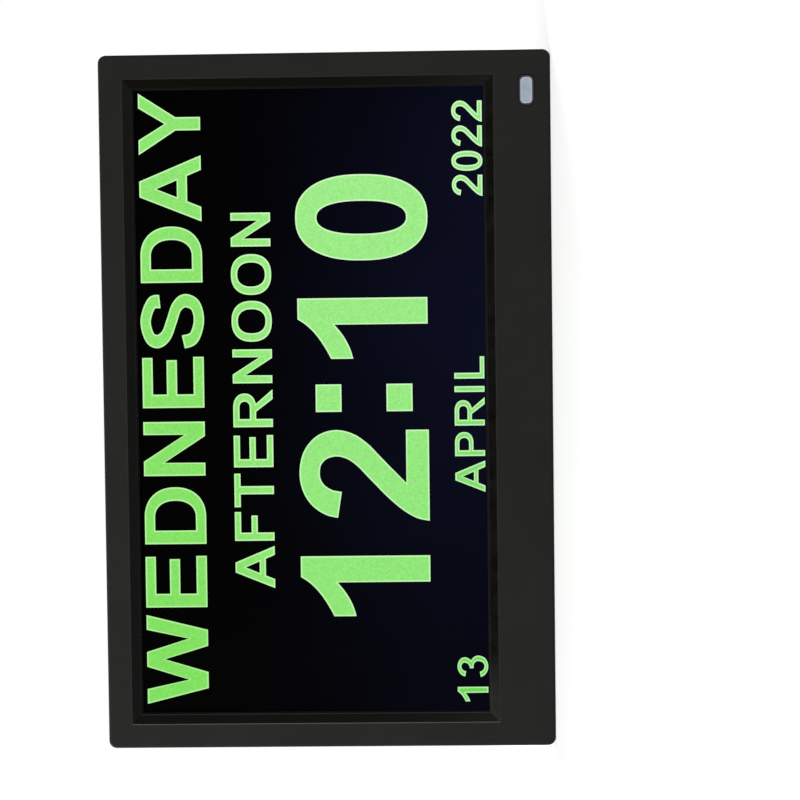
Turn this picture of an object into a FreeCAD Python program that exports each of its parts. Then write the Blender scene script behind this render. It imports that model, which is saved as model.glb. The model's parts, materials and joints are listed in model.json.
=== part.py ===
import FreeCAD, Part
import os
import re
import Sketcher

# Day clock: a landscape LCD desk and wall clock, in millimetres.
# X runs to the viewer's right, Y from the front face to the back, Z up.
# The origin is the middle of the flat underside, halfway through the depth.

SIZES = {
    # Housing
    "width": 247.0,
    "height": 160.0,
    "depth": 24.0,
    "corner_radius": 2.8,
    "front_edge_radius": 1.1,
    "rear_edge_radius": 2.2,
    "inner_radius": 0.8,
    "wall": 2.2,
    "face_wall": 2.2,
    "back_wall": 2.0,
    "bezel_depth": 8.0,
    "tongue_height": 2.2,
    "lap_clearance": 0.1,
    "seam_chamfer": 0.3,
    # Screen opening
    "side_bezel": 8.8,
    "top_bezel": 8.7,
    "bottom_bezel": 20.2,
    "bevel_run": 3.0,
    "bevel_drop": 2.5,
    "lip_edge": 0.5,
    # LCD module
    "border_side": 4.4,
    "border_top": 4.0,
    "border_bottom": 8.0,
    "panel_gap": 0.3,
    "gasket_thick": 0.4,
    "gasket_show": 0.4,
    "gasket_width": 3.0,
    "frame_sheet": 0.3,
    "frame_lip": 2.6,
    "glass_thick": 1.3,
    "films_thick": 0.4,
    "guide_thick": 2.6,
    "tray_sheet": 0.5,
    "layer_gap": 0.2,
    "strip_height": 3.0,
    "led_count": 12,
    "led_size": 2.0,
    # Straps behind the module
    "strap_board_gap": 10.0,
    "strap_width": 14.0,
    "strap_sheet": 1.0,
    "strap_flange": 1.5,
    "strap_ear": 3.6,
    "nut_radius": 2.8,
    # Ribs and bosses
    "rib_thick": 1.0,
    "rib_height": 3.8,
    "gusset_pitch": 36.0,
    "boss_radius": 2.4,
    "boss_sink": 0.3,
    "stud_radius": 0.9,
    "stud_stand": 0.6,
    # Cover screws
    "cover_shank": 1.3,
    "cover_head": 2.6,
    "cover_head_thick": 2.0,
    "cover_grip": 5.0,
    "cover_post": 3.9,
    "cover_boss": 3.0,
    "screw_clearance": 0.3,
    "cross_width": 0.6,
    "cross_reach": 1.6,
    "cross_depth": 0.8,
    "screw_well": 4.6,
    "meet_height": 15.5,
    "low_screw_inset": 51.5,
    "low_screw_z": 9.0,
    "high_screw_drop": 44.0,
    # Infrared window and receiver
    "lens_inset": 14.4,
    "lens_z": 8.5,
    "lens_length": 10.3,
    "lens_height": 5.2,
    "lens_radius": 2.0,
    "lens_flange": 1.0,
    "lens_flange_thick": 0.8,
    "lens_recess": 0.15,
    "lens_gap": 0.1,
    "ir_rail_start": 6.5,
    "ir_rail_height": 4.8,
    "ir_board_side": 9.4,
    "ir_board_half": 4.6,
    "ir_board_thick": 1.0,
    "ir_side": 2.9,
    "ir_thick": 3.4,
    "ir_chamfer": 0.7,
    # Main board
    "board_side_gap": 7.5,
    "board_width": 66.0,
    "board_low": 44.0,
    "board_length": 78.0,
    "board_level": 13.0,
    "board_thick": 1.6,
    "board_inset": 4.0,
    "post_radius": 2.8,
    # Sockets on the main board
    "socket_mouth": 0.4,
    "jack_up": 12.0,
    "jack_width": 9.0,
    "jack_height": 7.0,
    "jack_length": 13.0,
    "jack_bore": 3.1,
    "jack_bore_depth": 10.0,
    "jack_pin": 1.0,
    "jack_pin_back": 0.8,
    "jack_opening": 4.2,
    "usb_up": 33.0,
    "usb_width": 13.1,
    "usb_height": 5.8,
    "usb_length": 14.0,
    "usb_sheet": 0.4,
    "usb_tongue_width": 11.2,
    "usb_tongue_thick": 1.9,
    "usb_tongue_length": 9.0,
    "usb_base": 3.0,
    "card_up": 58.0,
    "card_width": 26.0,
    "card_height": 2.9,
    "card_length": 22.0,
    "card_slot_width": 24.4,
    "card_slot_height": 2.3,
    "card_slot_depth": 20.0,
    "port_gap": 0.5,
    "port_radius": 0.6,
    # Parts on the main board
    "chip_across": 28.0,
    "chip_up": 54.0,
    "chip_side": 14.0,
    "chip_thick": 1.4,
    "memory_across": 12.0,
    "memory_up": 52.0,
    "memory_width": 6.0,
    "memory_length": 9.0,
    "memory_thick": 1.2,
    "coil_across": 36.0,
    "coil_up": 35.0,
    "coil_side": 7.0,
    "coil_thick": 3.6,
    "cap_across": 48.0,
    "cap_up": 7.0,
    "cap_pitch": 9.0,
    "cap_count": 3,
    "cap_radius": 3.1,
    "cap_height": 5.4,
    "cell_across": 20.0,
    "cell_up": 20.0,
    "cell_radius": 10.0,
    "cell_thick": 3.2,
    "holder_wall": 1.2,
    "holder_floor": 0.8,
    "flex_across": 16.0,
    "flex_width": 14.0,
    "flex_thick": 0.2,
    "flex_low": 26.0,
    "connector_height": 1.6,
    "connector_depth": 4.0,
    "connector_side": 1.5,
    # Keys on the back
    "key_count": 7,
    "key_pitch": 12.0,
    "key_drop": 20.0,
    "key_radius": 3.2,
    "key_gap": 0.3,
    "key_flange": 4.3,
    "key_flange_thick": 0.8,
    "key_recess": 0.1,
    "key_chamfer": 0.4,
    "key_play": 0.1,
    "key_travel": 0.5,
    "dish_depth": 0.8,
    "dish_margin": 6.8,
    "dish_radius": 4.0,
    "key_board_half": 6.5,
    "key_board_depth": 9.0,
    "key_board_thick": 1.6,
    "key_board_end": 4.0,
    "key_post_gap": 8.0,
    "key_post_radius": 2.4,
    "switch_side": 6.0,
    "switch_height": 3.5,
    "plunger_side": 2.8,
    "plunger_stand": 0.8,
    "plunger_depth": 1.0,
    "plunger_gap": 0.1,
    "ribbon_across": 11.0,
    "ribbon_width": 6.0,
    "ribbon_thick": 0.2,
    "ribbon_overlap": 4.0,
    # Speakers
    "speaker_inset": 35.5,
    "speaker_z": 24.0,
    "speaker_radius": 14.0,
    "speaker_rim": 2.6,
    "speaker_depth": 3.6,
    "basket_sheet": 0.5,
    "magnet_radius": 6.5,
    "magnet_thick": 3.2,
    "cone_thick": 0.3,
    "cone_dome": 1.4,
    "speaker_gap": 0.3,
    "seat_wall": 1.2,
    "seat_height": 3.0,
    "grille_radius": 10.5,
    "grille_pitch": 3.0,
    "grille_slot": 1.5,
    # Vents
    "vent_count": 8,
    "vent_pitch": 6.0,
    "vent_slot": 2.0,
    "vent_inset": 19.5,
    "vent_low": 58.0,
    "vent_top": 84.0,
    # Keyhole slots for wall hanging
    "keyhole_inset": 39.5,
    "keyhole_drop": 30.0,
    "keyhole_radius": 4.5,
    "keyhole_neck": 2.2,
    "keyhole_rise": 9.0,
    "keyhole_depth": 4.8,
    "keyhole_wall": 1.5,
    "keyhole_room": 0.3,
    # Folding stand
    "hinge_drop": 64.0,
    "leg_tip_z": 7.5,
    "leg_top_half": 30.0,
    "leg_tip_half": 42.0,
    "leg_shoulder": 8.0,
    "leg_thick": 2.4,
    "leg_rib": 2.0,
    "leg_rib_height": 1.6,
    "leg_corner": 8.0,
    "leg_gap": 0.7,
    "leg_recess": 0.2,
    "barrel_radius": 2.8,
    "heel_depth": 1.9,
    "open_angle": 30.0,
    "stop_play": 0.05,
    "pin_radius": 1.5,
    "pin_grip": 3.5,
    "pin_running": 0.05,
    "pin_block": 4.0,
    "washer_thick": 0.5,
    "washer_radius": 2.6,
    "foot_half": 26.0,
    "foot_sink": 1.4,
    "foot_stand": 0.3,
    "foot_inset": 0.5,
    "recess_depth": 6.2,
    "recess_head": 4.4,
    "recess_wall": 1.8,
    "recess_floor": 1.8,
    "notch_z": 24.0,
    "notch_radius": 9.0,
}

# Levels and places worked out from the sizes above, each named for what lies there.
PLACES = {
    "front_y": "-depth / 2",
    "back_y": "depth / 2",
    "plate_y": "front_y + face_wall",
    "bevel_y": "front_y + bevel_drop",
    "seat_y": "bevel_y + lip_edge",
    "seam_y": "front_y + bezel_depth",
    "tongue_y": "seam_y + tongue_height",
    "inside_y": "back_y - back_wall",
    "panel_y": "seat_y + gasket_thick",
    "glass_y": "panel_y + frame_sheet",
    "films_y": "glass_y + glass_thick",
    "guide_y": "films_y + films_thick",
    "tray_y": "guide_y + guide_thick",
    "panel_back_y": "tray_y + tray_sheet",
    "strap_y": "panel_back_y + strap_sheet",
    "meet_y": "front_y + meet_height",
    "rib_y": "plate_y + rib_height",
    "window_side": "width / 2 - side_bezel",
    "window_bottom": "bottom_bezel",
    "window_top": "height - top_bezel",
    "opening_side": "window_side - bevel_run",
    "opening_bottom": "window_bottom + bevel_run",
    "opening_top": "window_top - bevel_run",
    "panel_side": "opening_side + border_side",
    "panel_bottom": "opening_bottom - border_bottom",
    "panel_top": "opening_top + border_top",
    "film_inset": "frame_sheet + tray_sheet + 2 * layer_gap",
    "film_side": "panel_side - film_inset",
    "strip_top": "panel_bottom + film_inset + strip_height",
    "lap": "wall / 2",
    "strap_high_z": "height - wall - boss_radius + boss_sink",
    "strap_low_z": "panel_bottom - panel_gap - boss_radius",
    "head_y": "back_y - screw_well",
    "screw_length": "head_y - meet_y + cover_grip",
    "low_screw_x": "width / 2 - low_screw_inset",
    "high_screw_z": "height - high_screw_drop",
    "lens_x": "width / 2 - lens_inset",
    "lens_front_y": "front_y + lens_recess",
    "lens_back_y": "plate_y + lens_flange_thick",
    "ir_board_y": "plate_y + ir_rail_height",
    "ir_back_y": "ir_board_y + ir_board_thick",
    "ir_lip_start": "ir_board_side + lap_clearance",
    "ir_lip_end": "ir_lip_start + rib_thick",
    "board_y": "front_y + board_level",
    "board_back_y": "board_y + board_thick",
    "board_right": "width / 2 - board_side_gap",
    "board_left": "board_right - board_width",
    "strap_x": "board_left - strap_board_gap",
    "board_top": "board_low + board_length",
    "board_post_left": "board_left + board_inset",
    "board_post_right": "board_right - board_inset",
    "board_post_low": "board_low + board_inset",
    "board_post_top": "board_top - board_inset",
    "mouth_x": "width / 2 - wall - socket_mouth",
    "jack_y": "board_back_y + jack_height / 2",
    "jack_z": "board_low + jack_up",
    "usb_y": "board_back_y + usb_height / 2",
    "usb_z": "board_low + usb_up",
    "card_z": "board_low + card_up",
    "chip_x": "board_left + chip_across",
    "chip_z": "board_low + chip_up",
    "memory_x": "board_left + memory_across",
    "memory_z": "board_low + memory_up",
    "coil_x": "board_left + coil_across",
    "coil_z": "board_low + coil_up",
    "cap_x": "board_left + cap_across",
    "cap_z": "board_low + cap_up",
    "cell_x": "board_left + cell_across",
    "cell_z": "board_low + cell_up",
    "cell_y": "board_back_y + holder_floor",
    "holder_y": "cell_y + cell_thick / 2",
    "flex_x": "board_left + flex_across",
    "ribbon_x": "board_left + ribbon_across",
    "key_z": "height - key_drop",
    "key_reach": "(key_count - 1) / 2 * key_pitch",
    "key_post_x": "key_reach + key_post_gap",
    "dish_side": "key_reach + dish_margin",
    "key_board_left": "-(key_post_x + key_board_end)",
    "key_board_right": "ribbon_x + ribbon_width / 2 + key_board_end / 2",
    "speaker_x": "width / 2 - speaker_inset",
    "vent_x": "width / 2 - vent_inset",
    "keyhole_x": "width / 2 - keyhole_inset",
    "keyhole_z": "height - keyhole_drop",
    "hinge_z": "height - hinge_drop",
    "key_board_back_y": "back_y - key_board_depth",
    "key_board_y": "key_board_back_y - key_board_thick",
    "switch_y": "key_board_back_y + switch_height",
    "plunger_y": "switch_y + plunger_stand",
    "key_top_y": "back_y - key_recess",
    "key_flange_y": "inside_y - key_play",
    "key_under_y": "key_flange_y - key_flange_thick",
    "dish_y": "back_y - dish_depth",
    "keyhole_y": "inside_y - keyhole_depth",
    "recess_y": "back_y - recess_depth",
    "leg_y": "back_y - leg_recess",
    "hinge_y": "leg_y - barrel_radius",
    "leg_inner_y": "leg_y - leg_thick",
    "rim_y": "leg_inner_y - leg_rib_height",
    "shoulder_z": "hinge_z - leg_shoulder",
    "recess_side": "leg_top_half + leg_gap",
    "pin_end": "recess_side + pin_grip",
    "hinge_floor": "hinge_y - recess_y",
    "heel_height": "(hinge_floor - stop_play - heel_depth * cos(open_angle * 1 deg))"
                   " / sin(open_angle * 1 deg)",
    "leg_slope": "(leg_tip_half - leg_top_half) / (shoulder_z - leg_tip_z)",
    "notch_x": "leg_tip_half - leg_slope * (notch_z - leg_tip_z)",
}

COVER_SCREW_PLACES = (("low_screw_x", "low_screw_z"), ("strap_x", "high_screw_z"))

FUNCTIONS = ("sqrt", "sin", "cos", "deg")
WORD = re.compile(r"[a-z][a-z0-9_]*")
FULL_TURN = 360
QUARTER = 90
EXACT = 1e-4

doc = FreeCAD.newDocument("day_clock")


def make_sheet():
    """Put every size in the spreadsheet, one named cell each."""
    made = doc.addObject("Spreadsheet::Sheet", "sizes")
    for row, (alias, value) in enumerate(SIZES.items(), 1):
        made.set(f"A{row}", alias.replace("_", " "))
        made.set(f"B{row}", str(value))
        made.setAlias(f"B{row}", alias)
    doc.recompute()
    return made


sheet = make_sheet()


def spelled(text):
    """Write a formula out in the sheet's own names."""
    def swap(match):
        word = match.group()
        if word in SIZES:
            return f"<<sizes>>.{word}"
        if word in PLACES:
            return f"({spelled(PLACES[word])})"
        if word in FUNCTIONS:
            return word
        raise NameError(word)
    return WORD.sub(swap, text)


def number(text):
    """Work out a formula with the sheet's present values."""
    return float(sheet.evalExpression(spelled(text)))


def point(across, up):
    return FreeCAD.Vector(number(across), number(up), 0)


# Sketches


def bind(sketch, kind, first, spot, value):
    """Hold a point of the sketch at a distance from the origin."""
    row = sketch.addConstraint(Sketcher.Constraint(kind, -1, 1, first, spot, number(value)))
    sketch.setExpression(f"Constraints[{row}]", spelled(value))


def join(sketch, kind, first, end, second, start):
    sketch.addConstraint(Sketcher.Constraint(kind, first, end, second, start))


def polygon(sketch, corners):
    """Draw a closed outline of straight lines, each corner held by its two formulas."""
    spots = [point(*corner) for corner in corners]
    lines = []
    for here, there in zip(spots, spots[1:] + spots[:1]):
        lines.append(sketch.addGeometry(Part.LineSegment(here, there), False))
    for line, after in zip(lines, lines[1:] + lines[:1]):
        join(sketch, "Coincident", line, 2, after, 1)
    for line, (across, up) in zip(lines, corners):
        bind(sketch, "DistanceX", line, 1, across)
        bind(sketch, "DistanceY", line, 1, up)


def rectangle(sketch, left, right, bottom, top):
    polygon(sketch, [(left, bottom), (right, bottom), (right, top), (left, top)])


def circle(sketch, across, up, radius):
    ring = Part.Circle(point(across, up), FreeCAD.Vector(0, 0, 1), number(radius))
    made = sketch.addGeometry(ring, False)
    bind(sketch, "DistanceX", made, 3, across)
    bind(sketch, "DistanceY", made, 3, up)
    row = sketch.addConstraint(Sketcher.Constraint("Radius", made, number(radius)))
    sketch.setExpression(f"Constraints[{row}]", spelled(radius))


def rounded(sketch, left, right, bottom, top, radius):
    """Draw a rectangle with four equal round corners."""
    low = point(left, bottom)
    high = point(right, top)
    turn = number(radius)
    middles = [
        FreeCAD.Vector(high.x - turn, low.y + turn, 0),
        FreeCAD.Vector(high.x - turn, high.y - turn, 0),
        FreeCAD.Vector(low.x + turn, high.y - turn, 0),
        FreeCAD.Vector(low.x + turn, low.y + turn, 0),
    ]
    arcs = []
    for step, middle in enumerate(middles):
        ring = Part.Circle(middle, FreeCAD.Vector(0, 0, 1), turn)
        start = FreeCAD.Units.parseQuantity(f"{(step - 1) * QUARTER} deg").getValueAs("rad")
        end = FreeCAD.Units.parseQuantity(f"{step * QUARTER} deg").getValueAs("rad")
        arc = Part.ArcOfCircle(ring, float(start), float(end))
        arcs.append(sketch.addGeometry(arc, False))
    sides = []
    for arc, after in zip(arcs, arcs[1:] + arcs[:1]):
        here = sketch.Geometry[arc].EndPoint
        there = sketch.Geometry[after].StartPoint
        side = sketch.addGeometry(Part.LineSegment(here, there), False)
        join(sketch, "Tangent", arc, 2, side, 1)
        join(sketch, "Tangent", side, 2, after, 1)
        sides.append(side)
    for side, kind in zip(sides, ("Vertical", "Horizontal", "Vertical", "Horizontal")):
        sketch.addConstraint(Sketcher.Constraint(kind, side))
    for arc in arcs[1:]:
        sketch.addConstraint(Sketcher.Constraint("Equal", arcs[0], arc))
    row = sketch.addConstraint(Sketcher.Constraint("Radius", arcs[0], turn))
    sketch.setExpression(f"Constraints[{row}]", spelled(radius))
    bind(sketch, "DistanceX", sides[0], 1, right)
    bind(sketch, "DistanceY", sides[1], 1, top)
    bind(sketch, "DistanceX", sides[2], 1, left)
    bind(sketch, "DistanceY", sides[3], 1, bottom)


# Features


def body(name):
    made = doc.addObject("PartDesign::Body", name)
    made.Label = name
    return made


def sketch_on(owner, name, plane, level):
    """Start a sketch on one of the body's own origin planes, moved along to a level."""
    made = owner.newObject("Sketcher::SketchObject", f"{owner.Label}_{name}_sketch")
    origin = {feature.Role: feature for feature in owner.Origin.OriginFeatures}
    made.AttachmentSupport = (origin[plane], [""])
    made.MapMode = "FlatFace"
    sign = "-" if plane == "XZ_Plane" else ""
    made.setExpression("AttachmentOffset.Base.z", f"{sign}({spelled(level)})")
    return made


def extrude(owner, kind, name, start, end, plane):
    """Start a pad or pocket that runs from one level to another, and return its sketch."""
    outline = sketch_on(owner, name, plane, start)
    made = owner.newObject(kind, f"{owner.Label}_{name}")
    made.Profile = outline
    forward = number(end) > number(start)
    span = f"({end}) - ({start})" if forward else f"({start}) - ({end})"
    made.setExpression("Length", spelled(span))
    along_normal = forward != (plane == "XZ_Plane")
    made.Reversed = along_normal if kind == "PartDesign::Pocket" else not along_normal
    return outline


def raised(owner, name, start, end, plane="XZ_Plane"):
    return extrude(owner, "PartDesign::Pad", name, start, end, plane)


def sunk(owner, name, start, end, plane="XZ_Plane"):
    return extrude(owner, "PartDesign::Pocket", name, start, end, plane)


def turned(owner, name, corners):
    """Revolve an outline of (radius, level) corners about the body's own Y axis."""
    outline = sketch_on(owner, name, "XY_Plane", "0")
    polygon(outline, corners)
    made = owner.newObject("PartDesign::Revolution", f"{owner.Label}_{name}")
    made.Profile = outline
    made.ReferenceAxis = (outline, ["V_Axis"])
    made.Angle = FULL_TURN
    return made


def sloped_cut(owner, name, outer_level, outer, inner_level, inner):
    """Cut a flared opening between two rectangles on two levels."""
    wide = sketch_on(owner, f"{name}_outer", "XZ_Plane", outer_level)
    rectangle(wide, *outer)
    narrow = sketch_on(owner, f"{name}_inner", "XZ_Plane", inner_level)
    rectangle(narrow, *inner)
    made = owner.newObject("PartDesign::SubtractiveLoft", f"{owner.Label}_{name}")
    made.Profile = wide
    made.Sections = [narrow]
    made.Ruled = True


def ease(owner, kind, name, size, chosen):
    """Fillet or chamfer the edges of the body that a test picks."""
    doc.recompute()
    base = owner.Tip
    picked = [f"Edge{row}" for row, edge in enumerate(base.Shape.Edges, 1) if chosen(edge)]
    made = owner.newObject(kind, f"{owner.Label}_{name}")
    made.Base = (base, picked)
    made.setExpression("Radius" if kind == "PartDesign::Fillet" else "Size", spelled(size))


def fillet(owner, name, radius, chosen):
    ease(owner, "PartDesign::Fillet", name, radius, chosen)


def chamfer(owner, name, size, chosen):
    ease(owner, "PartDesign::Chamfer", name, size, chosen)


def flat_at(level):
    """Pick edges that lie wholly at one Y level."""
    place = number(level)
    return lambda edge: max(abs(edge.BoundBox.YMin - place), abs(edge.BoundBox.YMax - place)) < EXACT


def upright_at(across, up):
    """Pick straight edges along Y at any of the given places, on either side of the middle."""
    far = abs(number(across))
    high = number(up)

    def test(edge):
        box = edge.BoundBox
        along = box.YLength > EXACT and box.XLength < EXACT and box.ZLength < EXACT
        return along and abs(abs(box.XMin) - far) < EXACT and abs(box.ZMin - high) < EXACT
    return test


def placed(made, across, deep, up):
    """Move a body that was drawn at the origin to its place."""
    made.setExpression("Placement.Base.x", spelled(across))
    made.setExpression("Placement.Base.y", spelled(deep))
    made.setExpression("Placement.Base.z", spelled(up))


# Front housing


def outline_inset(sketch, inset, radius):
    """Draw the housing's outline, moved in by an inset."""
    side = f"width / 2 - {inset}"
    rounded(sketch, f"-({side})", side, inset, f"height - {inset}", radius)


def mirrored_circles(sketch, across, up, radius):
    circle(sketch, f"-({across})", up, radius)
    circle(sketch, across, up, radius)


def gussets(sketch, bottom, top):
    """Draw a row of short stiffening ribs, evenly spaced about the middle."""
    reach = int(number("(width / 2 - wall) / gusset_pitch"))
    for step in range(-reach, reach + 1):
        middle = f"{step} * gusset_pitch"
        left = f"{middle} - rib_thick / 2"
        right = f"{middle} + rib_thick / 2"
        rectangle(sketch, left, right, bottom, top)


def front_bezel():
    shell = body("front_bezel")
    rounded(raised(shell, "shell", "front_y", "seam_y"),
            "-width / 2", "width / 2", "0", "height", "corner_radius")
    fillet(shell, "front_edge", "front_edge_radius", flat_at("front_y"))
    chamfer(shell, "seam_edge", "seam_chamfer", flat_at("seam_y"))
    tongue = raised(shell, "tongue", "seam_y", "tongue_y")
    outline_inset(tongue, "(lap + lap_clearance)", "inner_radius + lap - lap_clearance")
    outline_inset(sunk(shell, "hollow", "tongue_y", "plate_y"), "wall", "inner_radius")
    panel_rectangle(raised(shell, "seat", "plate_y", "seat_y"), "(-panel_gap - rib_thick)")
    fence = raised(shell, "fence", "plate_y", "rib_y")
    panel_rectangle(fence, "(-panel_gap - rib_thick)")
    panel_rectangle(fence, "(-panel_gap)")
    low_gussets = raised(shell, "low_gussets", "plate_y", "rib_y")
    gussets(low_gussets, "wall / 2", "panel_bottom - panel_gap - rib_thick / 2")
    high_gussets = raised(shell, "high_gussets", "plate_y", "rib_y")
    gussets(high_gussets, "panel_top + panel_gap + rib_thick / 2", "height - wall / 2")
    opening = sunk(shell, "opening", "seat_y", "front_y")
    rectangle(opening, "-opening_side", "opening_side", "opening_bottom", "opening_top")
    sloped_cut(shell, "bevel",
               "front_y", ("-window_side", "window_side", "window_bottom", "window_top"),
               "bevel_y", ("-opening_side", "opening_side", "opening_bottom", "opening_top"))
    strap_bosses = raised(shell, "strap_bosses", "plate_y", "panel_back_y")
    for up in ("strap_low_z", "strap_high_z"):
        mirrored_circles(strap_bosses, "strap_x", up, "boss_radius")
    strap_studs = raised(shell, "strap_studs", "panel_back_y", "strap_y + stud_stand")
    for up in ("strap_low_z", "strap_high_z"):
        mirrored_circles(strap_studs, "strap_x", up, "stud_radius")
    cover_bosses = raised(shell, "cover_bosses", "plate_y", "meet_y")
    mirrored_circles(cover_bosses, "low_screw_x", "low_screw_z", "cover_boss")
    cover_pilots = sunk(shell, "cover_pilots", "meet_y", "meet_y - cover_grip - screw_clearance")
    mirrored_circles(cover_pilots, "low_screw_x", "low_screw_z", "cover_shank")
    clear = sunk(shell, "lens_clear", "rib_y", "plate_y")
    rectangle(clear, "lens_x - ir_lip_end", "lens_x + ir_lip_end",
              "wall", "panel_bottom - panel_gap - rib_thick")
    beside_lens(raised(shell, "ir_rails", "plate_y", "ir_board_y"), "ir_rail_start", "ir_lip_end")
    beside_lens(raised(shell, "ir_lips", "plate_y", "ir_back_y"), "ir_lip_start", "ir_lip_end")
    hole = sunk(shell, "lens_hole", "plate_y", "front_y")
    lens_outline(hole, "lens_gap", "lens_radius + lens_gap")


def beside_lens(sketch, near, far):
    """Draw a block at each side of the lens, between two distances from its middle."""
    low = "lens_z - ir_board_half / 2"
    top = "lens_z + ir_board_half / 2"
    rectangle(sketch, f"lens_x - {far}", f"lens_x - {near}", low, top)
    rectangle(sketch, f"lens_x + {near}", f"lens_x + {far}", low, top)


def lens_outline(sketch, grow, radius):
    rounded(sketch,
            f"lens_x - lens_length / 2 - {grow}", f"lens_x + lens_length / 2 + {grow}",
            f"lens_z - lens_height / 2 - {grow}", f"lens_z + lens_height / 2 + {grow}", radius)


def ir_window():
    lens = body("ir_window")
    lens_outline(raised(lens, "window", "plate_y", "lens_front_y"), "0", "lens_radius")
    lens_outline(raised(lens, "flange", "plate_y", "lens_back_y"), "lens_flange", "lens_radius")


def ir_board():
    board = body("ir_board")
    plate = raised(board, "plate", "ir_board_y", "ir_back_y")
    rectangle(plate, "lens_x - ir_board_side", "lens_x + ir_board_side",
              "lens_z - ir_board_half", "lens_z + ir_board_half")


def ir_receiver():
    block = body("ir_receiver")
    case = raised(block, "case", "ir_board_y", "ir_board_y - ir_thick")
    rectangle(case, "lens_x - ir_side", "lens_x + ir_side", "lens_z - ir_side", "lens_z + ir_side")
    chamfer(block, "case_edge", "ir_chamfer", flat_at("ir_board_y - ir_thick"))


# LCD module


def panel_rectangle(sketch, inset):
    """Draw the LCD module's outline, moved in by an inset."""
    rectangle(sketch, f"-(panel_side - {inset})", f"panel_side - {inset}",
              f"panel_bottom + {inset}", f"panel_top - {inset}")


def lcd_gasket():
    ring = raised(body("lcd_gasket"), "ring", "seat_y", "panel_y")
    rectangle(ring, "-(opening_side + gasket_width)", "opening_side + gasket_width",
              "opening_bottom - gasket_width", "opening_top + gasket_width")
    rectangle(ring, "-(opening_side - gasket_show)", "opening_side - gasket_show",
              "opening_bottom + gasket_show", "opening_top - gasket_show")


def lcd_front_frame():
    frame = body("lcd_front_frame")
    panel_rectangle(raised(frame, "box", "panel_y", "tray_y"), "0")
    panel_rectangle(sunk(frame, "inside", "tray_y", "glass_y"), "frame_sheet")
    window = sunk(frame, "window", "glass_y", "panel_y")
    rectangle(window, "-(opening_side + frame_lip)", "opening_side + frame_lip",
              "opening_bottom - frame_lip", "opening_top + frame_lip")


def lcd_glass():
    glass = body("lcd_glass")
    panel_rectangle(raised(glass, "cell", "glass_y", "films_y"), "(frame_sheet + layer_gap)")


def optical_films():
    films = body("optical_films")
    panel_rectangle(raised(films, "sheets", "films_y", "guide_y"), "film_inset")


def light_guide():
    guide = raised(body("light_guide"), "plate", "guide_y", "tray_y")
    rectangle(guide, "-film_side", "film_side", "strip_top", "panel_top - film_inset")


def backlight_tray():
    tray = body("backlight_tray")
    panel_rectangle(raised(tray, "box", "films_y", "panel_back_y"), "(frame_sheet + layer_gap)")
    panel_rectangle(sunk(tray, "inside", "films_y", "tray_y"), "(film_inset - layer_gap)")


def backlight_strip():
    strip = body("backlight_strip")
    base = raised(strip, "base", "guide_y", "tray_y")
    rectangle(base, "-film_side", "film_side", "panel_bottom + film_inset", "strip_top - led_size")
    lamps = raised(strip, "lamps", "guide_y + layer_gap", "tray_y - layer_gap")
    for step in range(int(number("led_count"))):
        middle = f"(2 * {step} + 1 - led_count) * film_side / led_count"
        rectangle(lamps, f"{middle} - led_size", f"{middle} + led_size",
                  "strip_top - led_size - layer_gap", "strip_top - layer_gap")


def lcd_strap(name, side):
    """A folded steel strap across the back of the module, with a threaded stud riveted in."""
    strap = body(name)
    middle = f"{side} * strap_x"
    left = f"{middle} - strap_width / 2"
    right = f"{middle} + strap_width / 2"
    sheet_plan = raised(strap, "sheet", "panel_back_y", "strap_y")
    rectangle(sheet_plan, left, right, "strap_low_z - strap_ear", "strap_high_z + boss_radius - boss_sink")
    for name_part, start, end in (("near", left, f"{left} + strap_sheet"),
                                  ("far", f"{right} - strap_sheet", right)):
        flange = raised(strap, f"{name_part}_flange", "strap_y", "strap_y + strap_flange")
        rectangle(flange, start, end, "panel_bottom", "panel_top")
    circle(raised(strap, "stud", "strap_y", "meet_y"), middle, "high_screw_z", "nut_radius")
    circle(sunk(strap, "thread", "meet_y", "meet_y - cover_grip - screw_clearance"),
           middle, "high_screw_z", "cover_shank")
    holes = sunk(strap, "holes", "strap_y", "panel_back_y")
    circle(holes, middle, "strap_low_z", "stud_radius + lap_clearance")
    circle(holes, middle, "strap_high_z", "stud_radius + lap_clearance")


# Electronics


def main_board():
    board = body("main_board")
    plate = raised(board, "plate", "board_y", "board_back_y")
    rectangle(plate, "board_left", "board_right", "board_low", "board_top")
    board_corners(plate, "stud_radius + lap_clearance")


def board_corners(sketch, radius):
    for across in ("board_post_left", "board_post_right"):
        for up in ("board_post_low", "board_post_top"):
            circle(sketch, across, up, radius)


def block_on_board(name, across, up, half_width, half_length, thick):
    """A chamfered component that stands on the main board's back."""
    case = body(name)
    plan = raised(case, "case", "board_back_y", f"board_back_y + {thick}")
    rectangle(plan, f"{across} - {half_width}", f"{across} + {half_width}",
              f"{up} - {half_length}", f"{up} + {half_length}")
    chamfer(case, "case_edge", "layer_gap", flat_at(f"board_back_y + {thick}"))


def board_capacitors():
    cans = body("board_capacitors")
    plan = raised(cans, "cans", "board_back_y", "board_back_y + cap_height")
    for step in range(int(number("cap_count"))):
        circle(plan, "cap_x", f"cap_z + {step} * cap_pitch", "cap_radius")


def coin_cell_holder():
    holder = body("coin_cell_holder")
    cup = raised(holder, "cup", "board_back_y", "holder_y")
    circle(cup, "cell_x", "cell_z", "cell_radius + layer_gap + holder_wall")
    well = sunk(holder, "well", "holder_y", "cell_y")
    circle(well, "cell_x", "cell_z", "cell_radius + layer_gap")
    gap = sunk(holder, "gap", "holder_y", "cell_y")
    rectangle(gap, "cell_x - cell_radius / 2", "cell_x + cell_radius / 2",
              "cell_z", "cell_z + cell_radius + layer_gap + 2 * holder_wall")


def coin_cell():
    cell = raised(body("coin_cell"), "cell", "cell_y", "cell_y + cell_thick")
    circle(cell, "cell_x", "cell_z", "cell_radius")


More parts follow.
